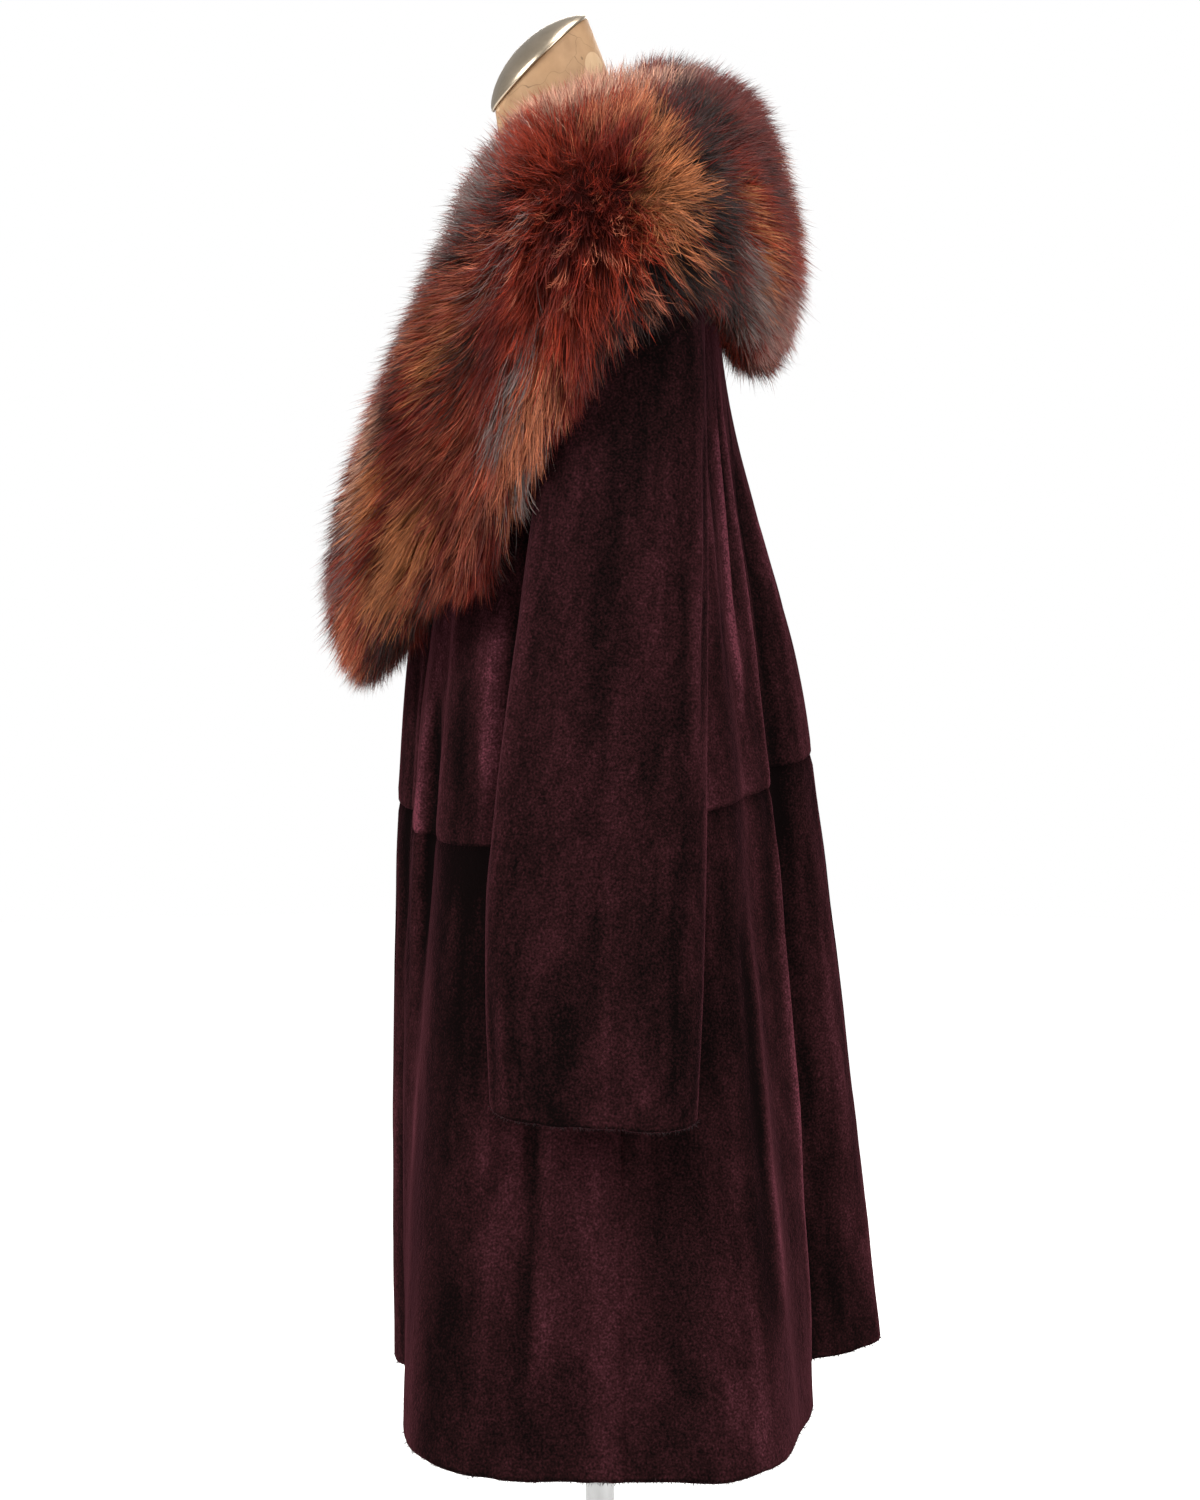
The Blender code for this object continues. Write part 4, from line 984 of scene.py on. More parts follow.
def locks(side_sign, low, high, count, seed):
    """Hair between two angles round the collar: flat tapered strands gathered in soft locks."""
    rng = np.random.default_rng(seed)
    tufts = count // LOCK_HAIRS
    u, v = hair_places(tufts, low, high, rng)
    middle = read_grid(HAIR, u, v)
    wool = read_grid(WOOL, u, v)
    normal = unit(read_grid(HAIR_NORMAL, u, v))
    along, far = flow(middle, normal)
    across = np.cross(normal, along)
    near = 1 - ease((far - WHORL_CORE) / NEAR_REACH)
    around = 1 - ease((far - WHORL_CORE) / AROUND_REACH)
    swing = rng.normal(0.0, 1.0, tufts) * (SWING + SWING_NEAR * near)
    along = unit(along * np.cos(swing)[:, None] + across * np.sin(swing)[:, None])
    across = np.cross(normal, along)
    length = HAIR_LENGTH * rng.uniform(*LOCK_LENGTHS, tufts) * (1 - SHORT_NEAR * near)
    thin = np.clip(np.linalg.norm(middle - wool, axis=-1) / THIN_WOOL, 0.25, 1.0)
    length = length * (1 - THIN_SHORT + THIN_SHORT * thin)
    turned, down = u / (COLLAR_STATIONS - 1) * 180, v / (COLLAR_LINE - 1)
    fringe = (np.abs(turned - FRINGE_ANGLE) < FRINGE_REACH) & (down > FRINGE_SHARE)
    length = length * np.where(fringe, rng.uniform(*FRINGE_LENGTHS, tufts), 1.0)
    below = 1 + np.clip((WHORL[2] - middle[:, 2]) / 0.04, -0.8, 1.2)
    curled = rng.random(tufts) < CURLED_SHARE * below * around**2
    length = length * np.where(curled, CURLED_LENGTH, 1.0)
    bunch = np.where(curled, CURLED_BUNCH, BUNCH + BUNCH_NEAR * near + BUNCH_SPREAD * rng.random(tufts))
    lift = TIP_LIFT + rng.normal(0.0, LIFT_SPREAD, tufts) + 0.002 * near + CURLED_LIFT * curled
    bend = curled * CURLED_BEND
    curl = rng.normal(0.0, 0.10, tufts) * (1 + 2.2 * near) + bend * rng.choice((-1, 1), tufts)

    shape = (tufts, LOCK_HAIRS)
    offset_a = rng.normal(0.0, LOCK_SPREAD, shape)[..., None]
    offset_b = rng.normal(0.0, LOCK_SPREAD, shape)[..., None]
    reach = (length[:, None] * rng.uniform(*STRAND_LENGTHS, shape))[..., None]
    spot = offset_a * across[:, None] + offset_b * along[:, None]
    stray = rng.normal(0.0, STRAY, (*shape, 3))
    out = normal[:, None]
    fore = along[:, None]
    sway = across[:, None] * (curl[:, None, None] + rng.normal(0.0, 0.05, (*shape, 1)))
    back = ROOT_BACK * (1 - 0.7 * near)[:, None, None]
    ahead = TIP_AHEAD * (1 - 0.45 * near)[:, None, None]
    root = wool[:, None] + spot - fore * reach * back
    body = middle[:, None] + spot * 0.9 - out * 0.005 + stray * 0.4 + fore * reach * (ahead - back) * 0.25
    gather = 1 - bunch[:, None, None]
    wisp = rng.random(shape) < WISP_SHARE
    rise = (lift[:, None] + rng.normal(0.0, 0.0020, shape) + WISP_LIFT * wisp)[..., None]
    tip = middle[:, None] + spot * gather + fore * reach * ahead + out * rise + sway * reach * 0.5 + stray
    tip = tip + DROOP
    knots = [root * (1 - t) ** 2 + body * 2 * t * (1 - t) + tip * t * t for t in STRAND_STEPS]
    path = np.stack(knots, axis=2).reshape(-1, 4, 3)
    banded = lock_colours(rng, side_sign, u, v, near, curled)
    facing = unit(np.repeat(normal, LOCK_HAIRS, axis=0) + rng.normal(0.0, 0.55, (len(path), 3)))
    width = HAIR_WIDTH * rng.uniform(*STRAND_WIDTHS, len(path))
    return path, banded, facing, width


def lock_colours(rng, side_sign, u, v, near, curled):
    """Four colours of each hair, from its root to its tip: darker at the root with painted shade, and with
    painted highlight on the locks near the whorl.
    """
    tufts, total = len(u), len(u) * LOCK_HAIRS
    degrees = np.repeat(u / (COLLAR_STATIONS - 1) * 180, LOCK_HAIRS) + rng.normal(0, 1.2, total)
    share = np.repeat(v / (COLLAR_LINE - 1), LOCK_HAIRS) + rng.normal(0, 0.012, total)
    colour = dyed(degrees, share, side_sign, rng.random(total))
    clump = 1 + 0.30 * soft_noise(u / 1.3 + 50 * side_sign, v / 1.1, 44)
    shade = np.repeat(rng.uniform(*LOCK_SHADES, tufts) * clump, LOCK_HAIRS)
    shade = shade * rng.uniform(*STRAND_SHADES, total)
    # Painted highlight on the locks near the whorl.
    painted_highlight = np.repeat(1 + 0.5 * near * rng.random(tufts), LOCK_HAIRS)
    guard = rng.random(total) < GUARD_SHARE
    pale = guard & (rng.random(total) < PALE_SHARE)
    tip = colour * painted_highlight[:, None] * 1.15
    tip[guard] = colour[guard] * 0.30 + CHARCOAL * 0.4
    tip[pale] = colour[pale] * 0.4 + SLATE * 0.6
    body = colour * 1.05 * painted_highlight[:, None]
    warm = ~guard & (rng.random(total) < WARM_SHARE)
    tip[warm] = colour[warm] * 0.5 + COPPER * 0.5
    curled = np.repeat(curled, LOCK_HAIRS)
    tip[curled], body[curled] = CURL_TIP, CURL_TIP * 0.7
    # Each hair darkens towards its root: painted shade deep in the fur.
    return np.stack([colour * 0.36, colour * 0.80, body, tip], axis=1) * shade[:, None, None]


STRAND_TAPER = (1.0, 1.0, 0.72)
TILE_SIDES, TILE_ROWS, TILE_TIP = (0.15, 0.85), (0.1, 0.4, 0.68), (0.5, 0.92)  # a strand in its map tile


def strands(name, path, colours, facing, width):
    """One mesh of flat strands: two quads and a pointed end each, with a tile of its own in the map."""
    total = len(path)
    lead = unit(np.diff(path, axis=1, append=path[:, -1:] * 2 - path[:, -2:-1]))
    beside = unit(np.cross(lead[:, :3], facing[:, None]))
    half = beside * (width[:, None] * np.array(STRAND_TAPER))[..., None] / 2
    pairs = np.stack([path[:, :3] - half, path[:, :3] + half], axis=2).reshape(total, 6, 3)
    points = np.concatenate([pairs, path[:, 3:]], axis=1)
    start = (np.arange(total) * 7)[:, None]
    quads = np.concatenate([start + [[0, 1, 3, 2]], start + [[2, 3, 5, 4]]], axis=1).reshape(-1, 4)
    triangles = start + [[4, 5, 6]]
    made = add_mesh(name, points, quads, triangles)
    tints = np.repeat(colours[:, :3], 2, axis=1)
    # The hairs' colours: dye with painted shade and highlight.
    set_colour(made, "dye_and_shade", np.concatenate([tints, colours[:, 3:]], axis=1))
    side = math.ceil(math.sqrt(total))
    tile = np.stack([np.arange(total) % side, np.arange(total) // side], axis=-1)[:, None] / side
    spot = np.array([(x, y) for y in TILE_ROWS for x in TILE_SIDES] + [TILE_TIP]) / side
    flat = (tile + spot[None]).reshape(-1, 2)
    layer = made.data.uv_layers.new(name="OFBake")
    corner = np.zeros(len(made.data.loops), np.int32)
    made.data.loops.foreach_get("vertex_index", corner)
    layer.data.foreach_set("uv", flat[corner].astype(np.float32).ravel())
    return made


HAIR_SPLIT = (("front", 0.0, 72.0, 29000), ("side", 72.0, 180.0, 35000))
WOOL_SHADE = 0.30  # the wool lies in the hair's shadow


def collar(side):
    """Skin, dense wool and long hair of one half of the collar."""
    sign = SIGN[side]
    mirror = np.array([sign, 1.0, 1.0])
    edge = np.array([SEAM / 2, 0.0, 0.0])

    def placed(points):
        return (points + edge) * mirror

    skin_top = BED + unit(HAIR - BED + HAIR_NORMAL * 1e-5) * SKIN
    skin = closed_wall(f"collar_{side}_skin", placed(skin_top)[::2, ::2], placed(BED)[::2, ::2])
    stations, line = np.linspace(0.0, 180.0, COLLAR_STATIONS), np.linspace(0.0, 1.0, COLLAR_LINE)
    degrees, share = np.meshgrid(stations, line, indexing="ij")
    low = BED + (HAIR - BED) * WOOL_LOW
    rings = np.concatenate([placed(WOOL), placed(low)[:, -2:0:-1]], axis=1)
    columns = rings.shape[1]
    quads, triangles = [ring_faces(COLLAR_STATIONS, columns)], []
    for row, flip in ((0, 1), (COLLAR_STATIONS - 1, -1)):
        ring = row * columns + np.arange(columns)
        out, back = ring[1 : COLLAR_LINE - 1], ring[:COLLAR_LINE - 1 : -1]
        quads.append(np.stack([out[:-1], out[1:], back[1:], back[:-1]], -1)[:, ::flip])
        corners = [(ring[0], out[0], back[0]), (out[-1], ring[COLLAR_LINE - 1], back[-1])]
        triangles.append(np.array(corners)[:, ::flip])
    wool = add_mesh(f"collar_{side}_wool", rings, np.concatenate(quads), np.concatenate(triangles))
    dice = np.full(degrees.shape, 0.5)
    shaded = dyed(degrees, share, sign, dice) * WOOL_SHADE
    set_colour(turn_outward(wool), "dye_and_shade", np.concatenate([shaded, shaded[:, -2:0:-1]], axis=1))
    grown = [wool]
    for part, low_angle, high_angle, count in HAIR_SPLIT:
        wanted = int(count * (1.0))
        seed = int(low_angle) + (3 if sign > 0 else 5)
        path, colours, facing, width = locks(sign, low_angle, high_angle, wanted, seed)
        grown.append(strands(f"hair_{part}_{side}", path * mirror, colours, facing * mirror, width))
    return skin, grown


# ---------------------------------------------------------------- dress form and stand
FORM_AROUND = 112
FORM_BETWEEN = 4
FORM_ARM_ROWS = 11  # lines of the solids' grid along an armhole; the form follows the first three
CAP_DOME = 0.0205
CAP_CROWN = 1.5
CAP_LIP = 0.0022
CAP_RIM = 0.0025
CAP_BEVEL = 0.0006
CAP_INSET = 0.004
CAP_STEPS, CAP_TURNS = 18, (0.06, 0.97)  # the dome's rings, and where they lie between rim and crown
CORE_R = 0.002  # the turned pieces' ends are closed from here to the axis
POLE_R = 0.0125
FLANGE_R, FLANGE_H = 0.045, 0.012
BASE_R, BASE_H, BASE_EDGE = 0.180, 0.008, 0.002
SOCKET_R, SOCKET_H, SOCKET_COLLAR, SOCKET_LIP = 0.028, 0.050, 0.012, 0.004
METAL_BEVEL = 0.0008
TURNED_AROUND = 128


def lofted(name, rings, sharp=40.0):
    """Closed solid through rings of equal counts, closed at both ends by a fan."""
    rings = np.asarray(rings)
    rows, columns = rings.shape[:2]
    faces = ring_faces(rows, columns)
    points = np.concatenate([rings.reshape(-1, 3), [rings[0].mean(0), rings[-1].mean(0)]])
    step = np.arange(columns)
    after = (step + 1) % columns
    first, last = rows * columns, rows * columns + 1
    top = np.stack([after, step, np.full(columns, first)], -1)
    low = np.stack([step, after, np.full(columns, last)], -1)
    low[:, :2] += (rows - 1) * columns
    made = turn_outward(add_mesh(name, points, faces, np.concatenate([top, low])))
    made.data.set_sharp_from_angle(angle=math.radians(sharp))
    return made


def form_ring(height, half_width, front, back):
    angle = round_angles(FORM_AROUND)
    radius = oval_radius(angle, half_width, front, back, FORM_SQUARENESS)
    return np.stack([radius * np.sin(angle), -radius * np.cos(angle), np.full(FORM_AROUND, height)], axis=-1)


def neck_ring(front_y, front_z, back_y, back_z, half_width, grow=0.0):
    angle = round_angles(FORM_AROUND)
    middle = np.array([0.0, (front_y + back_y) / 2, (front_z + back_z) / 2])
    back = np.array([0.0, back_y - front_y, back_z - front_z]) / 2
    length = np.linalg.norm(back)
    across = np.array([half_width + grow, 0.0, 0.0])
    reach = back / length * (length + grow)
    return middle + np.sin(angle)[:, None] * across - np.cos(angle)[:, None] * reach


def form_cover():
    """The form's covered body: neck, shoulders, bust and hips."""
    rings = [neck_ring(*row) for row in rows_of(NECK_ROWS)]
    angle = round_angles(FORM_AROUND)
    arm_shares = crowded_ends(FORM_ARM_ROWS, ARM_PULL)[:3]
    arm = ARM_TOP_DROP + (drop_of(ARM_PIT_Z) - ARM_TOP_DROP) * arm_shares
    for drop in (*YOKE_DROPS, *arm):
        rings.append(off_coat(angle, drop, -PELT - FORM_REST))
    rings += [form_ring(*row) for row in rows_of(FORM_SECTIONS)]
    return lofted("form_cover", smooth_rings(rings, FORM_BETWEEN))


def neck_dome():
    """Domed metal cap that closes the neck, tilted as the neck is cut, with a rolled rim."""
    cut = next(rows_of(NECK_ROWS))
    top = neck_ring(*cut)
    middle = top.mean(0)
    up = np.cross(np.array([1.0, 0.0, 0.0]), top[FORM_AROUND // 2] - top[0])
    up = up / np.linalg.norm(up)
    rings = []
    for grow, lift in (
        (-CAP_INSET, 0.0),
        (CAP_LIP - CAP_BEVEL, 0.0),
        (CAP_LIP, CAP_BEVEL),
        (CAP_LIP, CAP_RIM - CAP_BEVEL),
        (CAP_LIP - CAP_BEVEL, CAP_RIM),
    ):
        rings.append(neck_ring(*cut, grow=grow) + up * (SEAM + lift))
    shoulder = neck_ring(*cut, grow=CAP_LIP - CAP_BEVEL)
    for turn in np.linspace(*CAP_TURNS, CAP_STEPS) * math.pi / 2:
        level = middle + up * (SEAM + CAP_RIM + CAP_DOME * math.sin(turn) ** CAP_CROWN)
        rings.append(level + (shoulder - middle) * math.cos(turn))
    return lofted("neck_cap_dome", rings, sharp=50.0)


def turned_solid(name, *profile):
    """Solid turned round the pole's axis from (radius, height) pairs, its corners slightly bevelled."""
    profile = np.array(profile)
    soft = [profile[0]]
    for before, here, after in zip(profile[:-2], profile[1:-1], profile[2:]):
        soft.append(here + unit(before - here) * METAL_BEVEL)
        soft.append(here + unit(after - here) * METAL_BEVEL)
    soft.append(profile[-1])
    ring, lift = circle(TURNED_AROUND), np.array([0.0, 0.0, 1.0])
    return lofted(name, [ring * radius + lift * height for radius, height in soft], sharp=30.0)


def round_bar(name, radius, top, low):
    return turned_solid(name, (CORE_R, top), (radius, top), (radius, low), (CORE_R, low))


def cone_topped(name, top_radius, radius, top, edge, low):
    """Round piece that widens from its top to an edge, and is straight below it."""
    sides = (top_radius, top), (radius, edge), (radius, low)
    return turned_solid(name, (CORE_R, top), *sides, (CORE_R, low))


def stand():
    """The stand's pieces by the node that each stands for, from the form down to the floor."""
    flange_top = FORM_SECTIONS["height"][-1] - SEAM
    flange_low = flange_top - FLANGE_H
    socket_low = BASE_H + SEAM
    socket_top = socket_low + SOCKET_H
    socket_edge = socket_low + SOCKET_COLLAR
    socket_r = POLE_R + SOCKET_LIP
    return {
        "form_flange": round_bar("flange_plate", FLANGE_R, flange_top, flange_low),
        "stand_pole": round_bar("pole_tube", POLE_R, flange_low - SEAM, socket_top + SEAM),
        "stand_socket": cone_topped("pole_socket", socket_r, SOCKET_R, socket_top, socket_edge, socket_low),
        "stand_base": cone_topped("base_plate", BASE_R - BASE_EDGE, BASE_R, BASE_H, BASE_H - BASE_EDGE, 0.0),
    }


# ---------------------------------------------------------------- short hair along the cut edges
FUZZ_LENGTH = 0.0062
FUZZ_WIDTH = 0.00045
FUZZ_PER_METRE = 2300
FUZZ_ROOT_SHADES = np.array([0.4, 0.6, 0.8, 0.9])  # painted shade, darker at the root, from root to tip
FUZZ_KNOTS = (0.5, 0.8, 1.0)  # places of a hair's points past its root
FUZZ_DROP, FUZZ_SUNK = 0.6, 0.45  # shares of the edge's rounding and of a hair's length
FUZZ_TONE = (0.6, 0.9)  # the hairs' shade at the pile's tones 0 and 1 is the first, and the sum of both
HEM_SEEDS, CUFF_SEED = {"front": 66, "back": 65}, 71
PLUM_PILE = srgb(44, 20, 24)


def edge_fuzz(name, line, out, down, tone, seed):
    """Short hairs that stand along a cut edge. out and down are directions at each point of the line."""
    rng = np.random.default_rng(seed)
    line = line + unit(down) * HEM_ROUND * FUZZ_DROP
    run = lengths_along(line)
    count = int(run[-1] * FUZZ_PER_METRE * (1.0))
    at = np.sort(rng.random(count)) * run[-1]

    def along(values):
        return np.stack([np.interp(at, run, values[:, k]) for k in range(3)], axis=-1)

    spot, away, fall = along(line), unit(along(out)), unit(along(down))
    tilt = rng.uniform(-0.9, 1.0, (count, 1))
    lead = unit(fall * np.cos(tilt * 1.1) + away * np.sin(tilt * 1.1) + rng.normal(0.0, 0.22, (count, 3)))
    reach = (FUZZ_LENGTH * rng.uniform(0.6, 1.15, count))[:, None]
    root = spot + away * tilt * (PELT * 0.38) - lead * reach * FUZZ_SUNK
    bend = rng.normal(0.0, 0.0006, (count, 3))
    knots = [root + lead * reach * place + bend * turn for turn, place in enumerate(FUZZ_KNOTS)]
    path = np.stack([root, *knots], 1)
    tone = FUZZ_TONE[0] + FUZZ_TONE[1] * np.interp(at, run, tone)
    shade = rng.uniform(0.6, 1.3, (count, 1, 1)) * tone[:, None, None]
    # Painted shade towards each hair's root.
    colours = np.broadcast_to(PLUM_PILE, (count, 4, 3)) * shade * FUZZ_ROOT_SHADES[None, :, None]
    facing = unit(away + rng.normal(0.0, 0.5, (count, 3)))
    return strands(name, path, colours, facing, FUZZ_WIDTH * rng.uniform(0.7, 1.3, count))


# ---------------------------------------------------------------- materials
class Finish:
    """A material and short ways to add and join its nodes."""

    def __init__(self, name):
        self.material = bpy.data.materials.new(name)
        self.material.use_nodes = True
        self.tree = self.material.node_tree
        self.shader = self.tree.nodes["Principled BSDF"]

    def set(self, **values):
        for name, value in values.items():
            self.shader.inputs[name.replace("_", " ")].default_value = value

    def add(self, kind, **settings):
        node = self.tree.nodes.new(kind)
        for name, value in settings.items():
            if name in node.bl_rna.properties:
                setattr(node, name, value)
            else:
                node.inputs[name.replace("_", " ")].default_value = value
        return node

    def join(self, source, target):
        self.tree.links.new(source, target)

    def noise(self, scale, detail=2.0, stretch=None):
        """Noise in metres: scale is lumps per metre, and stretch scales each axis."""
        place = self.add("ShaderNodeTexCoord").outputs["Object"]
        if stretch:
            mapping = self.add("ShaderNodeMapping")
            mapping.inputs["Scale"].default_value = stretch
            self.join(place, mapping.inputs["Vector"])
            place = mapping.outputs["Vector"]
        node = self.add("ShaderNodeTexNoise", Scale=scale, Detail=detail)
        self.join(place, node.inputs["Vector"])
        return node.outputs["Fac"]

    def reckon(self, operation, first, second, third=None):
        """A Math node on numbers or sockets."""
        node = self.add("ShaderNodeMath", operation=operation)
        for slot, value in zip(node.inputs, (first, second, third)):
            if value is None:
                continue
            if isinstance(value, (int, float)):
                slot.default_value = value
            else:
                self.join(value, slot)
        return node.outputs[0]

    def ramp(self, share, *stops):
        node = self.add("ShaderNodeValToRGB")
        points = node.color_ramp.elements
        while len(points) < len(stops):
            points.new(0.5)
        for point, (position, colour) in zip(points, stops):
            point.position = position
            point.color = (*colour, 1.0)
        self.join(share, node.inputs["Fac"])
        return node.outputs["Color"]

    def paint(self, colour, shade):
        """Gives the surface a colour multiplied by a shade."""
        mixed = self.add("ShaderNodeMix", data_type="RGBA", blend_type="MULTIPLY")
        mixed.inputs["Factor"].default_value = 1.0
        self.join(colour, mixed.inputs["A"])
        self.join(shade, mixed.inputs["B"])
        self.join(mixed.outputs["Result"], self.shader.inputs["Base Color"])

    def bump(self, height, strength, distance):
        node = self.add("ShaderNodeBump", Strength=strength, Distance=distance)
        self.join(height, node.inputs["Height"])
        self.join(node.outputs["Normal"], self.shader.inputs["Normal"])


def pelt_material():
    """Sheared pile: tone from the hides with painted light and shade on its creases, join and edges, a fine
    grain, and the sheen of short dense hair.
    """
    finish = Finish("sheared_pile")
    finish.set(Roughness=0.7, Specular_IOR_Level=0.0, Sheen_Weight=0.30, Sheen_Roughness=0.30)
    finish.shader.inputs["Sheen Tint"].default_value = (*srgb(160, 88, 102), 1.0)
    tone = finish.add("ShaderNodeAttribute", attribute_name="tone").outputs["Fac"]
    grain = finish.noise(560, 2.0)
    tufts = finish.noise(150, 3.0)
    speck = finish.reckon("MULTIPLY_ADD", grain, 1.1, -0.55)
    cloud = finish.reckon("MULTIPLY_ADD", tufts, 0.30, -0.15)
    mixed = finish.reckon("ADD", tone, finish.reckon("ADD", speck, cloud))
    colour = finish.ramp(
        mixed,
        (0.05, srgb(11, 7, 7)),
        (0.32, srgb(29, 14, 15)),
        (0.56, srgb(46, 22, 25)),
        (0.80, srgb(67, 34, 40)),
        (1.00, srgb(98, 49, 59)),
    )
    finish.join(colour, finish.shader.inputs["Base Color"])
    height = finish.reckon("MULTIPLY_ADD", tufts, 1.6, grain)
    finish.bump(height, 0.55, 0.0012)
    return finish.material


def hair_material(name, roughness, specular, sheen):
    """Dyed hair or wool, with painted shade and highlight. Its colour is painted on the mesh, and a fine
    noise varies it.
    """
    finish = Finish(name)
    finish.set(Roughness=roughness, Specular_IOR_Level=specular, Sheen_Weight=sheen, Sheen_Roughness=0.4)
    dye_and_shade = finish.add("ShaderNodeAttribute", attribute_name="dye_and_shade").outputs["Color"]
    finish.paint(dye_and_shade, finish.reckon("MULTIPLY_ADD", finish.noise(260, 2.0), 0.7, 0.65))
    return finish.material


def cover_material():
    """Tan papier of the form: pale round blotches of paste, and hairline cracks."""
    finish = Finish("tan_cover")
    finish.set(Roughness=0.62, Specular_IOR_Level=0.3)
    place = finish.add("ShaderNodeTexCoord").outputs["Object"]
    blotch = finish.add("ShaderNodeTexVoronoi", Scale=24.0, Randomness=1.0)
    finish.join(place, blotch.inputs["Vector"])
    wave = finish.add("ShaderNodeTexNoise", Scale=35.0, Detail=2.0)
    finish.join(place, wave.inputs["Vector"])
    bent = finish.add("ShaderNodeVectorMath", operation="MULTIPLY_ADD")
    finish.join(wave.outputs["Color"], bent.inputs[0])
    bent.inputs[1].default_value = (0.05, 0.05, 0.05)
    finish.join(place, bent.inputs[2])
    crack = finish.add("ShaderNodeTexVoronoi", feature="DISTANCE_TO_EDGE", Scale=20.0)
    finish.join(bent.outputs["Vector"], crack.inputs["Vector"])
    cloud = finish.noise(45, 4.0)
    chosen = finish.reckon("GREATER_THAN", blotch.outputs["Color"], 0.50)
    size = finish.reckon("MULTIPLY_ADD", blotch.outputs["Color"], 0.5, -0.02)
    round_spot = finish.reckon("LESS_THAN", blotch.outputs["Distance"], size)
    round_spot = finish.reckon("MULTIPLY", round_spot, chosen)
    share = finish.reckon("MULTIPLY_ADD", round_spot, 0.34, finish.reckon("MULTIPLY", cloud, 0.60))
    colour = finish.ramp(
        share, (0.15, srgb(150, 116, 84)), (0.38, srgb(178, 142, 106)), (0.75, srgb(206, 174, 138))
    )
    line = finish.reckon("GREATER_THAN", crack.outputs["Distance"], 0.005)
    finish.paint(colour, finish.reckon("MULTIPLY_ADD", line, 0.40, 0.60))
    finish.bump(finish.reckon("MULTIPLY_ADD", line, 0.6, finish.noise(900, 2.0)), 0.3, 0.0004)
    return finish.material


def steel_material(name, tint, roughness, stretch):
    """Brushed metal: fine lines along the brushing, and faint cloudy wear."""
    finish = Finish(name)
    finish.set(Metallic=1.0, Specular_IOR_Level=0.5)
    lines = finish.noise(420, 2.0, stretch)
    cloud = finish.noise(22, 3.0)
    rough = finish.reckon("MULTIPLY_ADD", lines, 0.16, roughness - 0.08)
    rough = finish.reckon("MULTIPLY_ADD", cloud, 0.10, rough)
    finish.join(rough, finish.shader.inputs["Roughness"])
    dark = tuple(value * 0.78 for value in tint)
    finish.join(finish.ramp(cloud, (0.3, dark), (0.7, tint)), finish.shader.inputs["Base Color"])
    finish.bump(lines, 0.12, 0.0002)
    return finish.material


# ---------------------------------------------------------------- the dressed part
def dress(made, material, slot_name, *nodes):
    """Gives a piece its finish and its body, and hides the solids of the nodes it stands for."""
    made.data.materials.append(material)
    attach(made, "root")
    if nodes:
        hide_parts(*nodes)
    return made


def dress_all():
    pelt = pelt_material()
    hair = hair_material("dyed_shaded_long_hair", 0.5, 0.15, 0.0)
    wool = hair_material("dyed_shaded_wool", 0.85, 0.1, 0.0)
    fuzz = hair_material("pile_edge_hair", 0.6, 0.15, 0.1)
    cover = cover_material()
    # The dome's warm tint is a painted reflection of the tan cover.
    dome = steel_material("dome_steel", srgb(212, 194, 170), 0.24, (60.0, 3.0, 3.0))
    steel = steel_material("stand_steel", srgb(190, 190, 190), 0.34, (10.0, 10.0, 1.0))
    for side in ("left", "right"):
        for part in ("front", "back"):
            for level in ("upper", "lower"):
                node = f"{part}_{level}_{side}"
                made, edges = coat_panel(part, level, side)
                dress(made, pelt, "pelt", node)
                for edge in edges:
                    dress(edge, fuzz, "pelt")
        node = f"sleeve_{side}"
        made, edges = sleeve(side)
        dress(made, pelt, "pelt", node)
        for edge in edges:
            dress(edge, fuzz, "pelt")
        node = f"collar_{side}"
        skin, grown = collar(side)
        dress(skin, wool, "fur", node)
        dress(grown[0], wool, "fur")
        for strand in grown[1:]:
            dress(strand, hair, "fur")
    dress(form_cover(), cover, "linen", "form_torso")
    dress(neck_dome(), dome, "steel", "neck_cap")
    for node, made in stand().items():
        dress(made, steel, "steel", node)


# ---------------------------------------------------------------- floor, light and camera
CHEST = (0.0, 0.0, 1.1)  # the lights aim here
LIGHTS = (  # name, place, size in metres and power in watts
    ("key", (1.7, -2.5, 2.6), 1.4, 100),
    ("fill", (1.9, 2.3, 1.9), 1.8, 58),
    ("top", (0.2, 0.2, 3.3), 1.6, 45),
    ("rim", (-2.4, 0.4, 2.0), 1.6, 40),
)
WORLD_LIGHT = 0.38
FLOOR_R, FLOOR_SIDES = 6.0, 96
FLOOR_GLOW, FLOOR_GLOW_GROWTH = 0.345, 0.075  # brightness under the stand, and its growth a metre
CAMERA_PLACE, CAMERA_LENS, CAMERA_SENSOR = (3.0, 0.0, 1.206), 85.0, 36.0
CAMERA_TILT, CAMERA_TURN = 85.0, 90.0  # 5 degrees down, from the wearer's left


def area_light(name, place, size, power):
    data = bpy.data.lights.new(name, "AREA")
    data.shape = "DISK"
    data.size, data.energy = size, power
    lamp = bpy.data.objects.new(name, data)
    lamp.location = place
    toward = np.array(CHEST) - np.array(place)
    lamp.rotation_euler = Vector(toward).to_track_quat("-Z", "Y").to_euler()
    bpy.context.scene.collection.objects.link(lamp)


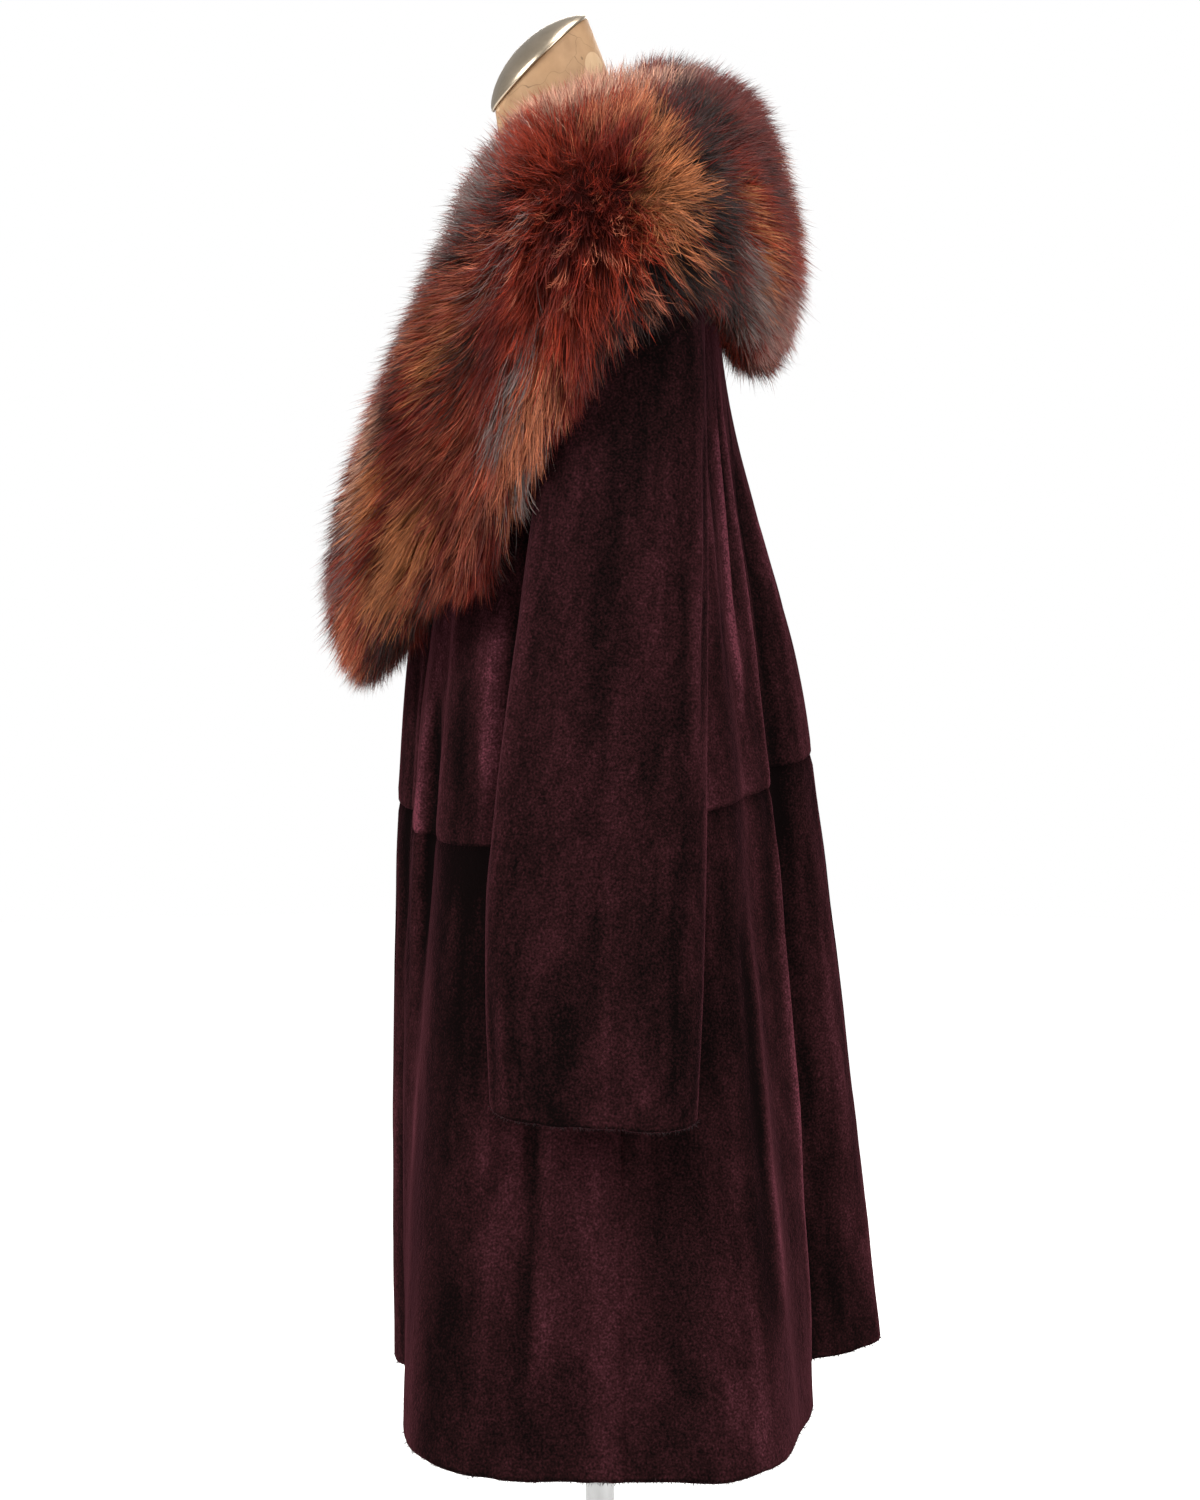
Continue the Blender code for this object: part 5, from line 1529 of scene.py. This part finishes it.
def pale_floor():
    points = np.concatenate([circle(FLOOR_SIDES) * FLOOR_R, [[0.0, 0.0, 0.0]]])
    step = np.arange(FLOOR_SIDES)
    faces = np.stack([step, (step + 1) % FLOOR_SIDES, np.full(FLOOR_SIDES, FLOOR_SIDES)], -1)
    floor = add_mesh("floor", points, (), faces)
    paint = Finish("pale_floor")
    paint.set(Roughness=0.9, Specular_IOR_Level=0.1)
    paint.shader.inputs["Emission Color"].default_value = (1.0, 1.0, 1.0, 1.0)
    far = paint.add("ShaderNodeVectorMath", operation="LENGTH")
    paint.join(paint.add("ShaderNodeTexCoord").outputs["Object"], far.inputs[0])
    glow = paint.reckon("MULTIPLY_ADD", far.outputs["Value"], FLOOR_GLOW_GROWTH, FLOOR_GLOW)
    paint.join(glow, paint.shader.inputs["Emission Strength"])
    tint = paint.ramp(paint.noise(3, 2.0), (0.3, srgb(244, 243, 241)), (0.7, srgb(250, 249, 247)))
    paint.join(tint, paint.shader.inputs["Base Color"])
    floor.data.materials.append(paint.material)


def pale_world():
    """White where the camera sees it, and dimmer as a light on the object."""
    world = bpy.data.worlds.new("studio")
    bpy.context.scene.world = world
    world.use_nodes = True
    tree = world.node_tree
    shown, lighting = tree.nodes["Background"], tree.nodes.new("ShaderNodeBackground")
    for background, strength in ((shown, 1.0), (lighting, WORLD_LIGHT)):
        background.inputs["Color"].default_value = (1.0, 1.0, 1.0, 1.0)
        background.inputs["Strength"].default_value = strength
    seen = tree.nodes.new("ShaderNodeLightPath")
    mix = tree.nodes.new("ShaderNodeMixShader")
    tree.links.new(seen.outputs["Is Camera Ray"], mix.inputs[0])
    tree.links.new(lighting.outputs[0], mix.inputs[1])
    tree.links.new(shown.outputs[0], mix.inputs[2])
    tree.links.new(mix.outputs[0], tree.nodes["World Output"].inputs["Surface"])


def photo_camera():
    data = bpy.data.cameras.new("camera")
    data.lens, data.sensor_width = CAMERA_LENS, CAMERA_SENSOR
    camera = bpy.data.objects.new("camera", data)
    camera.location = CAMERA_PLACE
    camera.rotation_euler = (math.radians(CAMERA_TILT), 0.0, math.radians(CAMERA_TURN))
    bpy.context.scene.collection.objects.link(camera)
    bpy.context.scene.camera = camera
    bpy.context.scene.view_settings.view_transform = "Standard"


pale_floor()
pale_world()
for light in LIGHTS:
    area_light(*light)
photo_camera()
dress_all()
bpy.context.view_layer.update()
